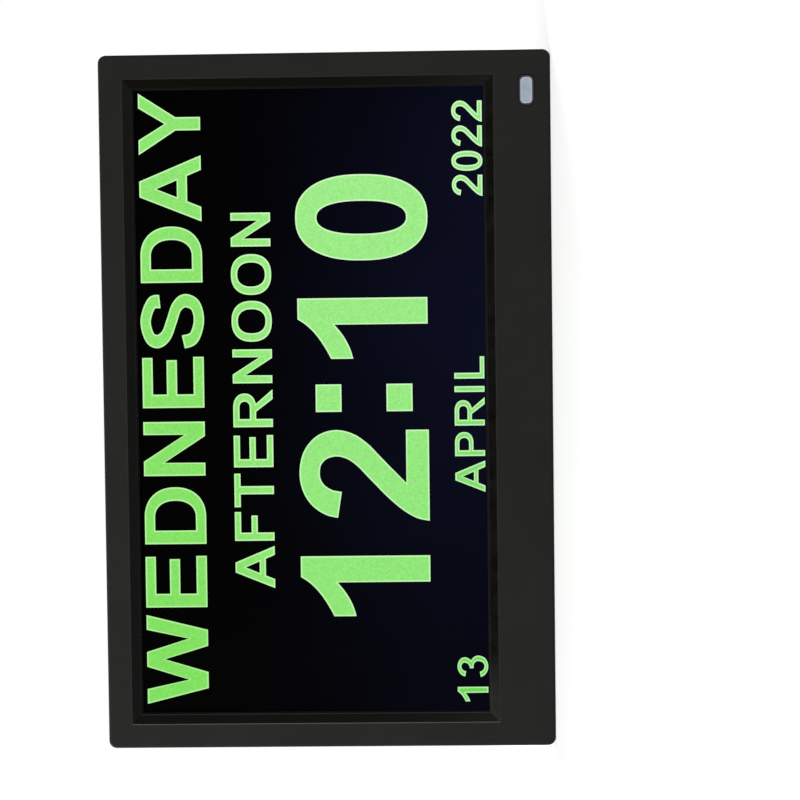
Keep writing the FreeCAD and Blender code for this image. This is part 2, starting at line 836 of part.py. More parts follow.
def dc_jack():
    jack = body("dc_jack")
    case = raised(jack, "case", "mouth_x - jack_length", "mouth_x", "YZ_Plane")
    rounded(case, "board_back_y", "board_back_y + jack_height",
            "jack_z - jack_width / 2", "jack_z + jack_width / 2", "port_radius")
    bore = sunk(jack, "bore", "mouth_x", "mouth_x - jack_bore_depth", "YZ_Plane")
    circle(bore, "jack_y", "jack_z", "jack_bore")


def dc_pin():
    pin = body("dc_pin")
    shank = raised(pin, "shank", "mouth_x - jack_bore_depth", "mouth_x - jack_pin_back", "YZ_Plane")
    circle(shank, "jack_y", "jack_z", "jack_pin")


def usb_section(sketch, inset, radius):
    rounded(sketch, f"board_back_y + {inset}", f"board_back_y + usb_height - {inset}",
            f"usb_z - usb_width / 2 + {inset}", f"usb_z + usb_width / 2 - {inset}", radius)


def usb_shell():
    shell = body("usb_shell")
    usb_section(raised(shell, "sleeve", "mouth_x - usb_length", "mouth_x", "YZ_Plane"),
                "0", "port_radius")
    usb_section(sunk(shell, "inside", "mouth_x", "mouth_x - usb_length + usb_sheet", "YZ_Plane"),
                "usb_sheet", "port_radius / 2")


def usb_tongue():
    tongue = body("usb_tongue")
    usb_section(raised(tongue, "base", "mouth_x - usb_length + usb_sheet",
                       "mouth_x - usb_length + usb_sheet + usb_base", "YZ_Plane"),
                "(usb_sheet + lap_clearance)", "port_radius / 2")
    blade = raised(tongue, "blade", "mouth_x - usb_length + usb_sheet + usb_base",
                   "mouth_x - usb_length + usb_sheet + usb_base + usb_tongue_length", "YZ_Plane")
    rectangle(blade, "usb_y", "usb_y + usb_tongue_thick",
              "usb_z - usb_tongue_width / 2", "usb_z + usb_tongue_width / 2")


def card_socket():
    socket = body("card_socket")
    case = raised(socket, "case", "mouth_x - card_length", "mouth_x", "YZ_Plane")
    rectangle(case, "board_back_y", "board_back_y + card_height",
              "card_z - card_width / 2", "card_z + card_width / 2")
    slot = sunk(socket, "slot", "mouth_x", "mouth_x - card_slot_depth", "YZ_Plane")
    rectangle(slot, "board_back_y + (card_height - card_slot_height) / 2",
              "board_back_y + (card_height + card_slot_height) / 2",
              "card_z - card_slot_width / 2", "card_z + card_slot_width / 2")


def flex_connector():
    case = body("flex_connector")
    plan = raised(case, "case", "board_back_y", "board_back_y + connector_height")
    rectangle(plan, "flex_x - flex_width / 2 - connector_side",
              "flex_x + flex_width / 2 + connector_side", "board_low", "board_low + connector_depth")
    mouth = sunk(case, "mouth", "board_low", "board_low + connector_depth / 2", "XY_Plane")
    rectangle(mouth, "flex_x - flex_width / 2", "flex_x + flex_width / 2",
              "board_back_y + connector_height / 2 - flex_thick / 2",
              "board_back_y + connector_height / 2 + flex_thick / 2")


def display_flex():
    """A flat flex that leaves the module's back and turns up into the connector."""
    flex = body("display_flex")
    strip = raised(flex, "strip", "flex_x - flex_width / 2", "flex_x + flex_width / 2", "YZ_Plane")
    near = "panel_back_y"
    far = "board_back_y + connector_height / 2 - flex_thick / 2"
    turn_low = "board_low - 2 * connector_depth"
    turn_high = "board_low - connector_depth / 2"
    polygon(strip, [
        (near, "flex_low"),
        (f"{near} + flex_thick", "flex_low"),
        (f"{near} + flex_thick", turn_low),
        (f"{far} + flex_thick", turn_high),
        (f"{far} + flex_thick", "board_low + connector_depth / 2"),
        (far, "board_low + connector_depth / 2"),
        (far, f"{turn_high} + flex_thick"),
        (near, f"{turn_low} + flex_thick"),
    ])


def key_places():
    """The X places of the keys, evenly spaced about the middle."""
    return [f"{step} * key_pitch - key_reach" for step in range(int(number("key_count")))]


def key_square(sketch, across, half):
    rectangle(sketch, f"{across} - ({half})", f"{across} + {half}",
              f"key_z - ({half})", f"key_z + {half}")


def key_board():
    board = body("key_board")
    plate = raised(board, "plate", "key_board_y", "key_board_back_y")
    rectangle(plate, "key_board_left", "key_board_right",
              "key_z - key_board_half", "key_z + key_board_half")
    mirrored_circles(plate, "key_post_x", "key_z", "stud_radius + lap_clearance")


def tact_switches():
    cans = body("tact_switches")
    plan = raised(cans, "cans", "key_board_back_y", "switch_y")
    for across in key_places():
        key_square(plan, across, "switch_side / 2")
    wells = sunk(cans, "wells", "switch_y", "switch_y - plunger_depth - key_travel - plunger_gap")
    for across in key_places():
        key_square(wells, across, "plunger_side / 2 + plunger_gap")


def key_ribbon():
    """A flat ribbon from the key board's front down to the main board's front."""
    ribbon = body("key_ribbon")
    strip = raised(ribbon, "strip", "ribbon_x - ribbon_width / 2", "ribbon_x + ribbon_width / 2",
                   "YZ_Plane")
    low ="board_top - ribbon_overlap"
    high = "key_z - key_board_half + ribbon_overlap"
    polygon(strip, [
        ("board_y - ribbon_thick", low),
        ("board_y", low),
        ("board_y", "board_top"),
        ("key_board_y", "key_z - key_board_half"),
        ("key_board_y", high),
        ("key_board_y - ribbon_thick", high),
        ("key_board_y - ribbon_thick", "key_z - key_board_half"),
        ("board_y - ribbon_thick", "board_top"),
    ])


def key(name, across):
    cap = body(f"key_{name}")
    turned(cap, "cap", [
        ("0", "key_under_y"),
        ("key_flange", "key_under_y"),
        ("key_flange", "key_flange_y"),
        ("key_radius", "key_flange_y"),
        ("key_radius", "key_top_y - key_chamfer"),
        ("key_radius - key_chamfer", "key_top_y"),
        ("0", "key_top_y"),
    ])
    rectangle(raised(cap, "stem", "key_under_y", "plunger_y"),
              "-plunger_side / 2", "plunger_side / 2", "-plunger_side / 2", "plunger_side / 2")
    placed(cap, across, "0", "key_z")


def plunger(name, across):
    stub = body(f"plunger_{name}")
    plan = raised(stub, "stub", "switch_y - plunger_depth", "plunger_y")
    key_square(plan, across, "plunger_side / 2")


# Speakers


def speaker(side_name, side):
    """A small loudspeaker: pressed frame, magnet pot and paper cone, facing the back."""
    frame = body(f"speaker_frame_{side_name}")
    deep ="inside_y - speaker_depth"
    throat = "speaker_radius - speaker_rim"
    turned(frame, "basket", [
        ("magnet_radius", deep),
        ("magnet_radius", f"{deep} - basket_sheet"),
        ("speaker_radius", "inside_y - basket_sheet"),
        ("speaker_radius", "inside_y"),
        (throat, "inside_y"),
    ])
    magnet = body(f"speaker_magnet_{side_name}")
    turned(magnet, "pot", [
        ("0", f"{deep} - magnet_thick"),
        ("magnet_radius", f"{deep} - magnet_thick"),
        ("magnet_radius", deep),
        ("0", deep),
    ])
    cone = body(f"speaker_cone_{side_name}")
    turned(cone, "cone", [
        ("0", deep),
        ("magnet_radius - 2 * basket_sheet", deep),
        (throat, "inside_y"),
        ("magnet_radius - 2 * basket_sheet", f"{deep} + cone_thick"),
        ("0", f"{deep} + cone_dome"),
    ])
    for made in (frame, magnet, cone):
        placed(made, f"{side} * speaker_x", "0", "speaker_z")


# Rear housing


def recess_corners(grow):
    """The stand recess's outline, grown outwards by a wall."""
    tip = f"leg_tip_half + leg_gap + {grow}"
    side = f"recess_side + {grow}"
    low = f"leg_tip_z - leg_gap - {grow}"
    top = f"hinge_z + recess_head + {grow}"
    return [(f"-({tip})", low), (tip, low), (side, "shoulder_z"), (side, top),
            (f"-({side})", top), (f"-({side})", "shoulder_z")]


def stand_recess(shell):
    """The walled recess that the leg folds into, with its hinge blocks and finger notch."""
    polygon(raised(shell, "recess_block", "inside_y", "recess_y - recess_floor"),
            recess_corners("recess_wall"))
    circle(raised(shell, "notch_block", "inside_y", "recess_y - recess_floor"),
           "notch_x", "notch_z", "notch_radius + recess_wall")
    for name, side in (("left", "-1"), ("right", "1")):
        block = raised(shell, f"pin_block_{name}", f"{side} * recess_side",
                       f"{side} * (recess_side + pin_grip + rib_thick)", "YZ_Plane")
        rectangle(block, "recess_y - recess_floor", "inside_y + rib_thick",
                  "hinge_z - pin_block", "hinge_z + pin_block")
    polygon(sunk(shell, "recess", "back_y", "recess_y"), recess_corners("0"))
    fillet(shell, "recess_corners", "leg_corner + leg_gap",
           upright_at("leg_tip_half + leg_gap", "leg_tip_z - leg_gap"))
    circle(sunk(shell, "notch", "back_y", "recess_y"), "notch_x", "notch_z", "notch_radius")
    pin_bore = sunk(shell, "pin_bore", "-pin_end", "pin_end", "YZ_Plane")
    circle(pin_bore, "hinge_y", "hinge_z", "pin_radius")


def keyholes(shell):
    """Two keyhole slots, each with a walled pocket behind it for the screw's head."""
    for name, side in (("left", "-1"), ("right", "1")):
        middle = f"{side} * keyhole_x"
        room = "keyhole_radius + keyhole_room"
        boxed = f"{room} + keyhole_wall"
        rectangle(raised(shell, f"keyhole_block_{name}", "inside_y", "keyhole_y - keyhole_wall"),
                  f"{middle} - ({boxed})", f"{middle} + {boxed}",
                  f"keyhole_z - ({boxed})", f"keyhole_z + keyhole_rise + {boxed}")
        rectangle(sunk(shell, f"keyhole_pocket_{name}", "inside_y", "keyhole_y"),
                  f"{middle} - ({room})", f"{middle} + {room}",
                  f"keyhole_z - ({room})", f"keyhole_z + keyhole_rise + {room}")
        circle(sunk(shell, f"keyhole_entry_{name}", "back_y", "inside_y"),
               middle, "keyhole_z", "keyhole_radius")
        rectangle(sunk(shell, f"keyhole_neck_{name}", "back_y", "inside_y"),
                  f"{middle} - keyhole_neck", f"{middle} + keyhole_neck",
                  "keyhole_z", "keyhole_z + keyhole_rise")
        circle(sunk(shell, f"keyhole_end_{name}", "back_y", "inside_y"),
               middle, "keyhole_z + keyhole_rise", "keyhole_neck")


def screw_posts(shell):
    """The four posts that the cover screws pull down, each with a well for the head."""
    for name, start, end, radius, feature in (
            ("posts", "inside_y", "meet_y", "cover_post", raised),
            ("wells", "back_y", "head_y", "cover_head + screw_clearance", sunk),
            ("holes", "head_y", "meet_y", "cover_shank + screw_clearance", sunk)):
        plan = feature(shell, f"screw_{name}", start, end)
        for across, up in COVER_SCREW_PLACES:
            mirrored_circles(plan, across, up, radius)


def board_posts(shell):
    """Posts for the main board and the key board, each with a stud that is staked over."""
    board_corners(raised(shell, "board_posts", "inside_y", "board_back_y"), "post_radius")
    board_corners(raised(shell, "board_studs", "board_back_y", "board_y - stud_stand"), "stud_radius")
    mirrored_circles(raised(shell, "key_posts", "inside_y", "key_board_back_y"),
                     "key_post_x", "key_z", "key_post_radius")
    mirrored_circles(raised(shell, "key_studs", "key_board_back_y", "key_board_y - stud_stand"),
                     "key_post_x", "key_z", "stud_radius")


def key_dish(shell):
    """A shallow dish across the back with a round hole for each key."""
    rounded(sunk(shell, "key_dish", "back_y", "dish_y"), "-dish_side", "dish_side",
            "key_z - dish_margin", "key_z + dish_margin", "dish_radius")
    holes = sunk(shell, "key_holes", "dish_y", "inside_y")
    for across in key_places():
        circle(holes, across, "key_z", "key_radius + key_gap")


def speaker_seats(shell):
    """A fence round each speaker and a round field of slots in front of it."""
    fences = raised(shell, "speaker_fences", "inside_y", "inside_y - seat_height")
    room = "(speaker_radius + speaker_gap)"
    for name, side in (("left", "-1"), ("right", "1")):
        for half in (f"({room} + seat_wall)", room):
            rectangle(fences, f"{side} * speaker_x - {half}", f"{side} * speaker_x + {half}",
                      f"speaker_z - {half}", f"speaker_z + {half}")
    for name, side in (("left", "-1"), ("right", "1")):
        slots = sunk(shell, f"grille_{name}", "back_y", "inside_y")
        rows = int(number("grille_radius / grille_pitch"))
        for step in range(-rows, rows + 1):
            up = f"speaker_z + {step} * grille_pitch"
            half = f"sqrt(grille_radius ^ 2 - ({step} * grille_pitch) ^ 2)"
            rectangle(slots, f"{side} * speaker_x - {half}", f"{side} * speaker_x + {half}",
                      f"{up} - grille_slot / 2", f"{up} + grille_slot / 2")


def vents(shell):
    """A row of upright slots at each side of the stand recess."""
    for name, side in (("left", "-1"), ("right", "1")):
        slots = sunk(shell, f"vents_{name}", "back_y", "inside_y")
        for step in range(int(number("vent_count"))):
            middle = f"{side} * (vent_x - {step} * vent_pitch)"
            rectangle(slots, f"{middle} - vent_slot / 2", f"{middle} + vent_slot / 2",
                      "vent_low", "vent_top")


def ports(shell):
    """Openings in the right-hand wall in front of the three sockets."""
    inner = "width / 2 - wall - lap_clearance"
    jack = sunk(shell, "jack_port", "width / 2", inner, "YZ_Plane")
    circle(jack, "jack_y", "jack_z", "jack_opening")
    usb = sunk(shell, "usb_port", "width / 2", inner, "YZ_Plane")
    rounded(usb, "board_back_y - port_gap", "board_back_y + usb_height + port_gap",
            "usb_z - usb_width / 2 - port_gap", "usb_z + usb_width / 2 + port_gap", "port_radius")
    card = sunk(shell, "card_port", "width / 2", inner, "YZ_Plane")
    rounded(card, "board_back_y - port_gap", "board_back_y + card_height + port_gap",
            "card_z - card_width / 2 - port_gap", "card_z + card_width / 2 + port_gap", "port_radius")


def rear_cover():
    shell = body("rear_cover")
    rounded(raised(shell, "tub", "seam_y", "back_y"),
            "-width / 2", "width / 2", "0", "height", "corner_radius")
    fillet(shell, "rear_edge", "rear_edge_radius", flat_at("back_y"))
    chamfer(shell, "seam_edge", "seam_chamfer", flat_at("seam_y"))
    outline_inset(sunk(shell, "rebate", "seam_y", "tongue_y + lap_clearance"),
                  "lap", "inner_radius + lap")
    outline_inset(sunk(shell, "hollow", "seam_y", "inside_y"), "wall", "inner_radius")
    stand_recess(shell)
    keyholes(shell)
    speaker_seats(shell)
    screw_posts(shell)
    board_posts(shell)
    key_dish(shell)
    vents(shell)
    ports(shell)


# Folding stand


def stand_leg():
    """A flared plate with stiffening rims inside, a barrel at its top and a heel that stops it."""
    leg = body("stand_leg")
    polygon(raised(leg, "plate", "leg_y", "rim_y"), [
        ("-leg_tip_half", "leg_tip_z"), ("leg_tip_half", "leg_tip_z"),
        ("leg_top_half", "shoulder_z"), ("leg_top_half", "hinge_z"),
        ("-leg_top_half", "hinge_z"), ("-leg_top_half", "shoulder_z")])
    fillet(leg, "tip_corners", "leg_corner", upright_at("leg_tip_half", "leg_tip_z"))
    window = sunk(leg, "window", "rim_y", "leg_inner_y")
    inner_tip = "leg_tip_half - leg_rib - leg_corner / 2"
    inner_low = "leg_tip_z + foot_sink + 2 * leg_rib"
    inner_top = "hinge_z - barrel_radius - leg_rib"
    for side in ("-1", "1"):
        polygon(window, [
            (f"{side} * leg_rib / 2", inner_low),
            (f"{side} * ({inner_tip})", inner_low),
            (f"{side} * (leg_top_half - leg_rib)", "shoulder_z"),
            (f"{side} * (leg_top_half - leg_rib)", inner_top),
            (f"{side} * leg_rib / 2", inner_top)])
    circle(raised(leg, "barrel", "-leg_top_half", "leg_top_half", "YZ_Plane"),
           "hinge_y", "hinge_z", "barrel_radius")
    rectangle(raised(leg, "heel", "-leg_top_half / 2", "leg_top_half / 2", "YZ_Plane"),
              "hinge_y - heel_depth", "hinge_y", "hinge_z", "hinge_z + heel_height")
    circle(sunk(leg, "bore", "-leg_top_half", "leg_top_half", "YZ_Plane"),
           "hinge_y", "hinge_z", "pin_radius + pin_running")
    foot_outline(sunk(leg, "foot_socket", "leg_tip_z", "leg_tip_z + foot_sink", "XY_Plane"))


def foot_outline(sketch):
    rectangle(sketch, "-foot_half", "foot_half", "rim_y + foot_inset", "leg_y - foot_inset")


def stand_foot():
    pad = body("stand_foot")
    foot_outline(raised(pad, "pad", "leg_tip_z - foot_stand", "leg_tip_z + foot_sink", "XY_Plane"))


def stand_pin():
    rod = raised(body("stand_pin"), "rod", "-pin_end", "pin_end", "YZ_Plane")
    circle(rod, "hinge_y", "hinge_z", "pin_radius")


def stand_washers():
    rings = body("stand_washers")
    for name, side in (("left", "-1"), ("right", "1")):
        ring = raised(rings, name, f"{side} * (recess_side - washer_thick)",
                      f"{side} * recess_side", "YZ_Plane")
        circle(ring, "hinge_y", "hinge_z", "washer_radius")
        circle(ring, "hinge_y", "hinge_z", "pin_radius + pin_running")


# Screws


def cover_screw():
    """One cross-head screw with its head towards +Y, seated at the origin."""
    made = body("cover_screw")
    turned(made, "blank", [
        ("0", "-screw_length"),
        ("cover_shank", "-screw_length"),
        ("cover_shank", "0"),
        ("cover_head", "0"),
        ("cover_head", "cover_head_thick"),
        ("0", "cover_head_thick"),
    ])
    cross = sunk(made, "cross", "cover_head_thick", "cover_head_thick - cross_depth")
    polygon(cross, cross_corners("cross_reach"))
    return made


def cross_corners(reach):
    """A plus sign, given by the reach of its arms."""
    half = "cross_width / 2"
    first = [(reach, half), (half, half), (half, reach)]
    corners = []
    turns = (("1", "1", 1), ("-1", "1", -1), ("-1", "-1", 1), ("1", "-1", -1))
    for across_sign, up_sign, order in turns:
        for across, up in first[::order]:
            corners.append((f"{across_sign} * {across}", f"{up_sign} * {up}"))
    return corners


def cover_screws():
    """The cover screw repeated at its four places, as separate solids."""
    master = cover_screw()
    links = []
    for across, up in COVER_SCREW_PLACES:
        for name, side in (("left", "-1"), ("right", "1")):
            link = doc.addObject("App::Link", f"cover_screw_{name}")
            link.LinkedObject = master
            link.setExpression("LinkPlacement.Base.x", spelled(f"{side} * {across}"))
            link.setExpression("LinkPlacement.Base.y", spelled("head_y"))
            link.setExpression("LinkPlacement.Base.z", spelled(up))
            links.append(link)
    group = doc.addObject("Part::Compound", "cover_screws")
    group.Label = "cover_screws"
    group.Links = links
    return group


KEY_NAMES = ("power", "menu", "left", "up", "down", "right", "ok")
LOOSE_SETS = ("board_capacitors", "tact_switches", "stand_washers", "cover_screws")


def build():
    """Make every piece and return the ones that are written to files."""
    for make in (front_bezel, ir_window, ir_board, ir_receiver, lcd_gasket, lcd_front_frame,
                 lcd_glass, optical_films, light_guide, backlight_tray, backlight_strip,
                 main_board, board_capacitors, coin_cell_holder, coin_cell, dc_jack, dc_pin,
                 usb_shell, usb_tongue, card_socket, flex_connector, display_flex, key_board,
                 tact_switches, key_ribbon, rear_cover, stand_leg, stand_foot, stand_pin,
                 stand_washers):
        make()
    lcd_strap("lcd_strap_left", "-1")
    lcd_strap("lcd_strap_right", "1")
    block_on_board("processor_chip", "chip_x", "chip_z",
                   "chip_side / 2", "chip_side / 2", "chip_thick")
    block_on_board("memory_chip", "memory_x", "memory_z",
                   "memory_width / 2", "memory_length / 2", "memory_thick")
    block_on_board("power_coil", "coil_x", "coil_z",
                   "coil_side / 2", "coil_side / 2", "coil_thick")
    speaker("left", "-1")
    speaker("right", "1")
    for name, across in zip(KEY_NAMES, key_places()):
        key(name, across)
        plunger(name, across)
    kept = [thing for thing in doc.Objects if thing.TypeId == "PartDesign::Body"]
    screws = cover_screws()
    doc.recompute()
    return kept + [screws]


def check(pieces):
    """Stop if any object failed to build or any piece isn't one sound solid or a set of them."""
    for thing in doc.Objects:
        if "Invalid" in thing.State or "Error" in thing.State:
            raise RuntimeError(f"{thing.Label} failed: {thing.State}")
    for piece in pieces:
        if piece.Shape.isNull() or not piece.Shape.isValid() or not piece.Shape.Solids:
            raise RuntimeError(f"{piece.Label} has no sound solid")
        if piece.Label not in LOOSE_SETS and len(piece.Shape.Solids) > 1:
            raise RuntimeError(f"{piece.Label} fell into {len(piece.Shape.Solids)} solids")


def export(pieces):
    os.makedirs("parts", exist_ok=True)
    for piece in pieces:
        piece.Shape.exportStep(f"parts/{piece.Label}.step")
        print(piece.Label, len(piece.Shape.Solids), round(piece.Shape.Volume, 2))


made_pieces = build()
check(made_pieces)
export(made_pieces)
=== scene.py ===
import json
import math

import bmesh
import bpy
from mathutils import Matrix, Vector
from mathutils.geometry import delaunay_2d_cdt


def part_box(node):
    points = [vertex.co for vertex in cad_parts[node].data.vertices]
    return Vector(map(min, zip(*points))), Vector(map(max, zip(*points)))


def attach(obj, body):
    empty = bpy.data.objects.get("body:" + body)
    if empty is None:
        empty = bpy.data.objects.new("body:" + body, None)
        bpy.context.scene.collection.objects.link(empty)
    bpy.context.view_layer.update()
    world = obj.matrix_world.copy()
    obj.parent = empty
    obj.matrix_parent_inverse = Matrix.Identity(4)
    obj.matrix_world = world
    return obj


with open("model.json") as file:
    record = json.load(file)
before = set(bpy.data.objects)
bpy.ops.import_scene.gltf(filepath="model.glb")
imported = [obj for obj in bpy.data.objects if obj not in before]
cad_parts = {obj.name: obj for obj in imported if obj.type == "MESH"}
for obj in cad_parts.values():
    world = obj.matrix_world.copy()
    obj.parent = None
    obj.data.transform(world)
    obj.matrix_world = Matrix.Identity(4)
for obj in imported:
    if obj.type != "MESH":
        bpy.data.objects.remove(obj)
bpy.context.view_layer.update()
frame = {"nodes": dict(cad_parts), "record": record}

MM = 0.001
scene = bpy.context.scene

# ---------------------------------------------------------------- sizes

GLASS_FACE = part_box("lcd_glass")[0].y
# The opening round the screen, and how far the slope goes outwards from it.
OPEN_LOW = Vector((-0.1117, 0, 0.0232))
OPEN_HIGH = Vector((0.1117, 0, 0.1483))
SLOPE_WIDTH = 3.0 * MM
# Half the length and height of the receiver window, and the radius of its corners.
WINDOW_HALF = (5.15 * MM, 2.6 * MM)
WINDOW_CORNER = 2.0 * MM


# ---------------------------------------------------------------- small helpers for node trees

def empty_tree(owner):
    """The node tree of a material or world, with nothing in it."""
    owner.use_nodes = True
    owner.node_tree.nodes.clear()
    return owner.node_tree


def feed(tree, socket, value):
    """An input joined to another socket or given a value."""
    if isinstance(value, bpy.types.NodeSocket):
        tree.links.new(value, socket)
    else:
        socket.default_value = value


def add(tree, kind, inputs=None, **settings):
    """A node of the tree, with its settings made and its inputs fed."""
    node = tree.nodes.new(kind)
    for name, value in settings.items():
        setattr(node, name, value)
    for key, value in (inputs or {}).items():
        feed(tree, node.inputs[key], value)
    return node


def calc(tree, operation, *values, clamp=False):
    """The result of one sum on numbers or sockets."""
    return add(tree, "ShaderNodeMath", dict(enumerate(values)), operation=operation,
               use_clamp=clamp).outputs[0]


def blend(tree, factor, first, second):
    """A colour between two others."""
    node = add(tree, "ShaderNodeMix", {0: factor}, data_type="RGBA", clamp_factor=True)
    for index, colour in ((6, first), (7, second)):
        feed(tree, node.inputs[index], (*colour, 1.0) if isinstance(colour, tuple) else colour)
    return node.outputs[2]


def span(tree, value, low, high, to_low=0.0, to_high=1.0, smooth=False):
    """A value brought from one range into another."""
    return add(tree, "ShaderNodeMapRange",
               {"Value": value, "From Min": low, "From Max": high,
                "To Min": to_low, "To Max": to_high},
               interpolation_type="SMOOTHSTEP" if smooth else "LINEAR").outputs["Result"]


def noise(tree, vector, scale, detail=2.0, rough=0.5, stretch=None):
    """Noise from 0 to 1 at so many bumps per metre."""
    if stretch:
        vector = add(tree, "ShaderNodeVectorMath", {0: vector, 1: stretch},
                     operation="MULTIPLY").outputs[0]
    inputs = {"Vector": vector, "Scale": scale, "Detail": detail, "Roughness": rough}
    return add(tree, "ShaderNodeTexNoise", inputs).outputs["Fac"]


def split(tree, vector):
    """The X, Y and Z of a vector."""
    return add(tree, "ShaderNodeSeparateXYZ", {0: vector}).outputs


def product(tree, *values, clamp=False):
    """All the values multiplied together."""
    result = values[0]
    for index, value in enumerate(values[1:], start=2):
        result = calc(tree, "MULTIPLY", result, value, clamp=clamp and index == len(values))
    return result


def mixed(tree, first, share, second, other_share):
    """The sum of two values, each with its share."""
    return calc(tree, "ADD", calc(tree, "MULTIPLY", first, share),
                calc(tree, "MULTIPLY", second, other_share))


def effect(name, inputs, outputs):
    """An empty shader group with its input and output sockets."""
    group = bpy.data.node_groups.new(name, "ShaderNodeTree")
    for label, kind, value in inputs:
        socket = group.interface.new_socket(label, in_out="INPUT", socket_type=kind)
        if value is not None:
            socket.default_value = value
    for label, kind in outputs:
        group.interface.new_socket(label, in_out="OUTPUT", socket_type=kind)
    start = group.nodes.new("NodeGroupInput")
    end = group.nodes.new("NodeGroupOutput")
    return group, start.outputs, end.inputs


FLOAT, VECTOR = "NodeSocketFloat", "NodeSocketVector"
PLACE = ("Place", VECTOR, None)


# ---------------------------------------------------------------- effects that finishes share

# The range in which most of a noise lies. All scales are in bumps per metre.
MOST = (0.3, 0.7)
MOTTLE_SCALE = 34.0
DUST_CLOUDS, DUST_GRAINS = 150.0, 1500.0
# Between which values of their noise the clouds, the grains and the marks of hands come up.
CLOUD_RANGE, GRAIN_RANGE, HANDS_RANGE = (0.22, 0.85), (0.70, 0.76), (0.35, 0.72)
# How much of the dust stays on an upright face, and how far a face looks up before it gets more.
UPRIGHT_DUST, LEDGE_START = 0.08, 0.2
BRUSHED_PATCHES = 120.0
# How much finer the streaks of wiping are than the marks of hands.
STREAK_FINENESS = 9.0
# Where each zone of the screen starts and where it is full, along X or Z.
TO_RIGHT, TO_TOP, TO_FOOT = (-0.10, 0.08), (0.090, 0.128), (0.045, 0.030)


def make_moulded_grain():
    """The fine eroded grain of a mould, as a height and as a slow mottle."""
    group, take, give = effect("moulded grain", [PLACE, ("Grains", FLOAT, 2600.0)],
                               [("Height", FLOAT), ("Mottle", FLOAT)])
    fine = noise(group, take["Place"], take["Grains"], detail=3.0, rough=0.6)
    pits = add(group, "ShaderNodeTexVoronoi", {"Vector": take["Place"], "Scale": take["Grains"]},
               feature="SMOOTH_F1").outputs["Distance"]
    group.links.new(mixed(group, fine, 0.7, pits, 0.3), give["Height"])
    group.links.new(noise(group, take["Place"], MOTTLE_SCALE, detail=3.0, rough=0.55),
                    give["Mottle"])
    return group


def make_settled_dust():
    """A mask of thin dust, thicker where a face looks up, with a few grains in it."""
    group, take, give = effect("settled dust", [PLACE, ("Amount", FLOAT, 0.3)], [("Mask", FLOAT)])
    up = split(group, add(group, "ShaderNodeNewGeometry").outputs["Normal"])["Z"]
    ledge = span(group, up, LEDGE_START, 1.0, UPRIGHT_DUST, 1.0)
    cloud = span(group, noise(group, take["Place"], DUST_CLOUDS, detail=5.0, rough=0.62),
                 *CLOUD_RANGE)
    grains = span(group, noise(group, take["Place"], DUST_GRAINS, detail=1.0, rough=0.4),
                  *GRAIN_RANGE)
    mask = calc(group, "MAXIMUM", calc(group, "MULTIPLY", cloud, 0.5), grains)
    group.links.new(product(group, mask, ledge, take["Amount"], clamp=True), give["Mask"])
    return group


def make_brushed_lines():
    """Fine lines along one axis, and the tone that they give."""
    group, take, give = effect("brushed lines", [PLACE, ("Lay", VECTOR, ROLLED)],
                               [("Height", FLOAT), ("Tone", FLOAT)])
    laid = add(group, "ShaderNodeVectorMath", {0: take["Place"], 1: take["Lay"]},
               operation="MULTIPLY").outputs[0]
    lines = noise(group, laid, 1.0, detail=3.0, rough=0.6)
    patches = span(group, noise(group, take["Place"], BRUSHED_PATCHES), *MOST, 0.2, 0.8)
    group.links.new(lines, give["Height"])
    group.links.new(mixed(group, lines, 0.5, patches, 0.5), give["Tone"])
    return group


def make_handled_film():
    """The faint uneven film that hands and wiping leave, as a mask."""
    group, take, give = effect("handled film", [PLACE, ("Size", FLOAT, 26.0)], [("Mask", FLOAT)])
    broad = noise(group, take["Place"], take["Size"], detail=3.0, rough=0.6)
    finer = calc(group, "MULTIPLY", take["Size"], STREAK_FINENESS)
    streak = noise(group, take["Place"], finer, stretch=(1.0, 1.0, 0.25))
    marks = mixed(group, broad, 0.7, streak, 0.3)
    group.links.new(span(group, marks, *HANDS_RANGE), give["Mask"])
    return group


def make_speckle():
    """Small scattered specks, as a mask, for cast, sintered and plated parts."""
    group, take, give = effect("speckle", [PLACE, ("Size", FLOAT, 1800.0)],
                               [("Mask", FLOAT), ("Height", FLOAT)])
    cells = add(group, "ShaderNodeTexVoronoi", {"Vector": take["Place"], "Scale": take["Size"]})
    tone = add(group, "ShaderNodeSeparateColor", {0: cells.outputs["Color"]}).outputs[0]
    group.links.new(tone, give["Mask"])
    group.links.new(cells.outputs["Distance"], give["Height"])
    return group


def make_window_edge():
    """How far a place is outside the outline of the receiver window; inside, less than nothing."""
    group, take, give = effect("window edge", [PLACE], [("Distance", FLOAT)])
    low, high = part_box("ir_window")
    away = add(group, "ShaderNodeVectorMath", {0: take["Place"], 1: tuple((low + high) / 2)},
               operation="SUBTRACT").outputs[0]
    away = split(group, add(group, "ShaderNodeVectorMath", {0: away},
                            operation="ABSOLUTE").outputs[0])
    past = [calc(group, "SUBTRACT", away[axis], half - WINDOW_CORNER)
            for axis, half in zip("XZ", WINDOW_HALF)]
    squares = [calc(group, "POWER", calc(group, "MAXIMUM", beyond, 0.0), 2.0) for beyond in past]
    corner = calc(group, "SQRT", calc(group, "ADD", *squares))
    inside = calc(group, "MINIMUM", calc(group, "MAXIMUM", *past), 0.0)
    edge = calc(group, "SUBTRACT", calc(group, "ADD", corner, inside), WINDOW_CORNER)
    group.links.new(edge, give["Distance"])
    return group


def make_screen_zones():
    """Masks over the screen: towards its right end, its top line and its bottom line."""
    group, take, give = effect("screen zones", [PLACE],
                               [("Right", FLOAT), ("Top", FLOAT), ("Foot", FLOAT)])
    place = split(group, take["Place"])
    group.links.new(span(group, place["X"], *TO_RIGHT), give["Right"])
    group.links.new(span(group, place["Z"], *TO_TOP, smooth=True), give["Top"])
    group.links.new(span(group, place["Z"], *TO_FOOT, smooth=True), give["Foot"])
    return group


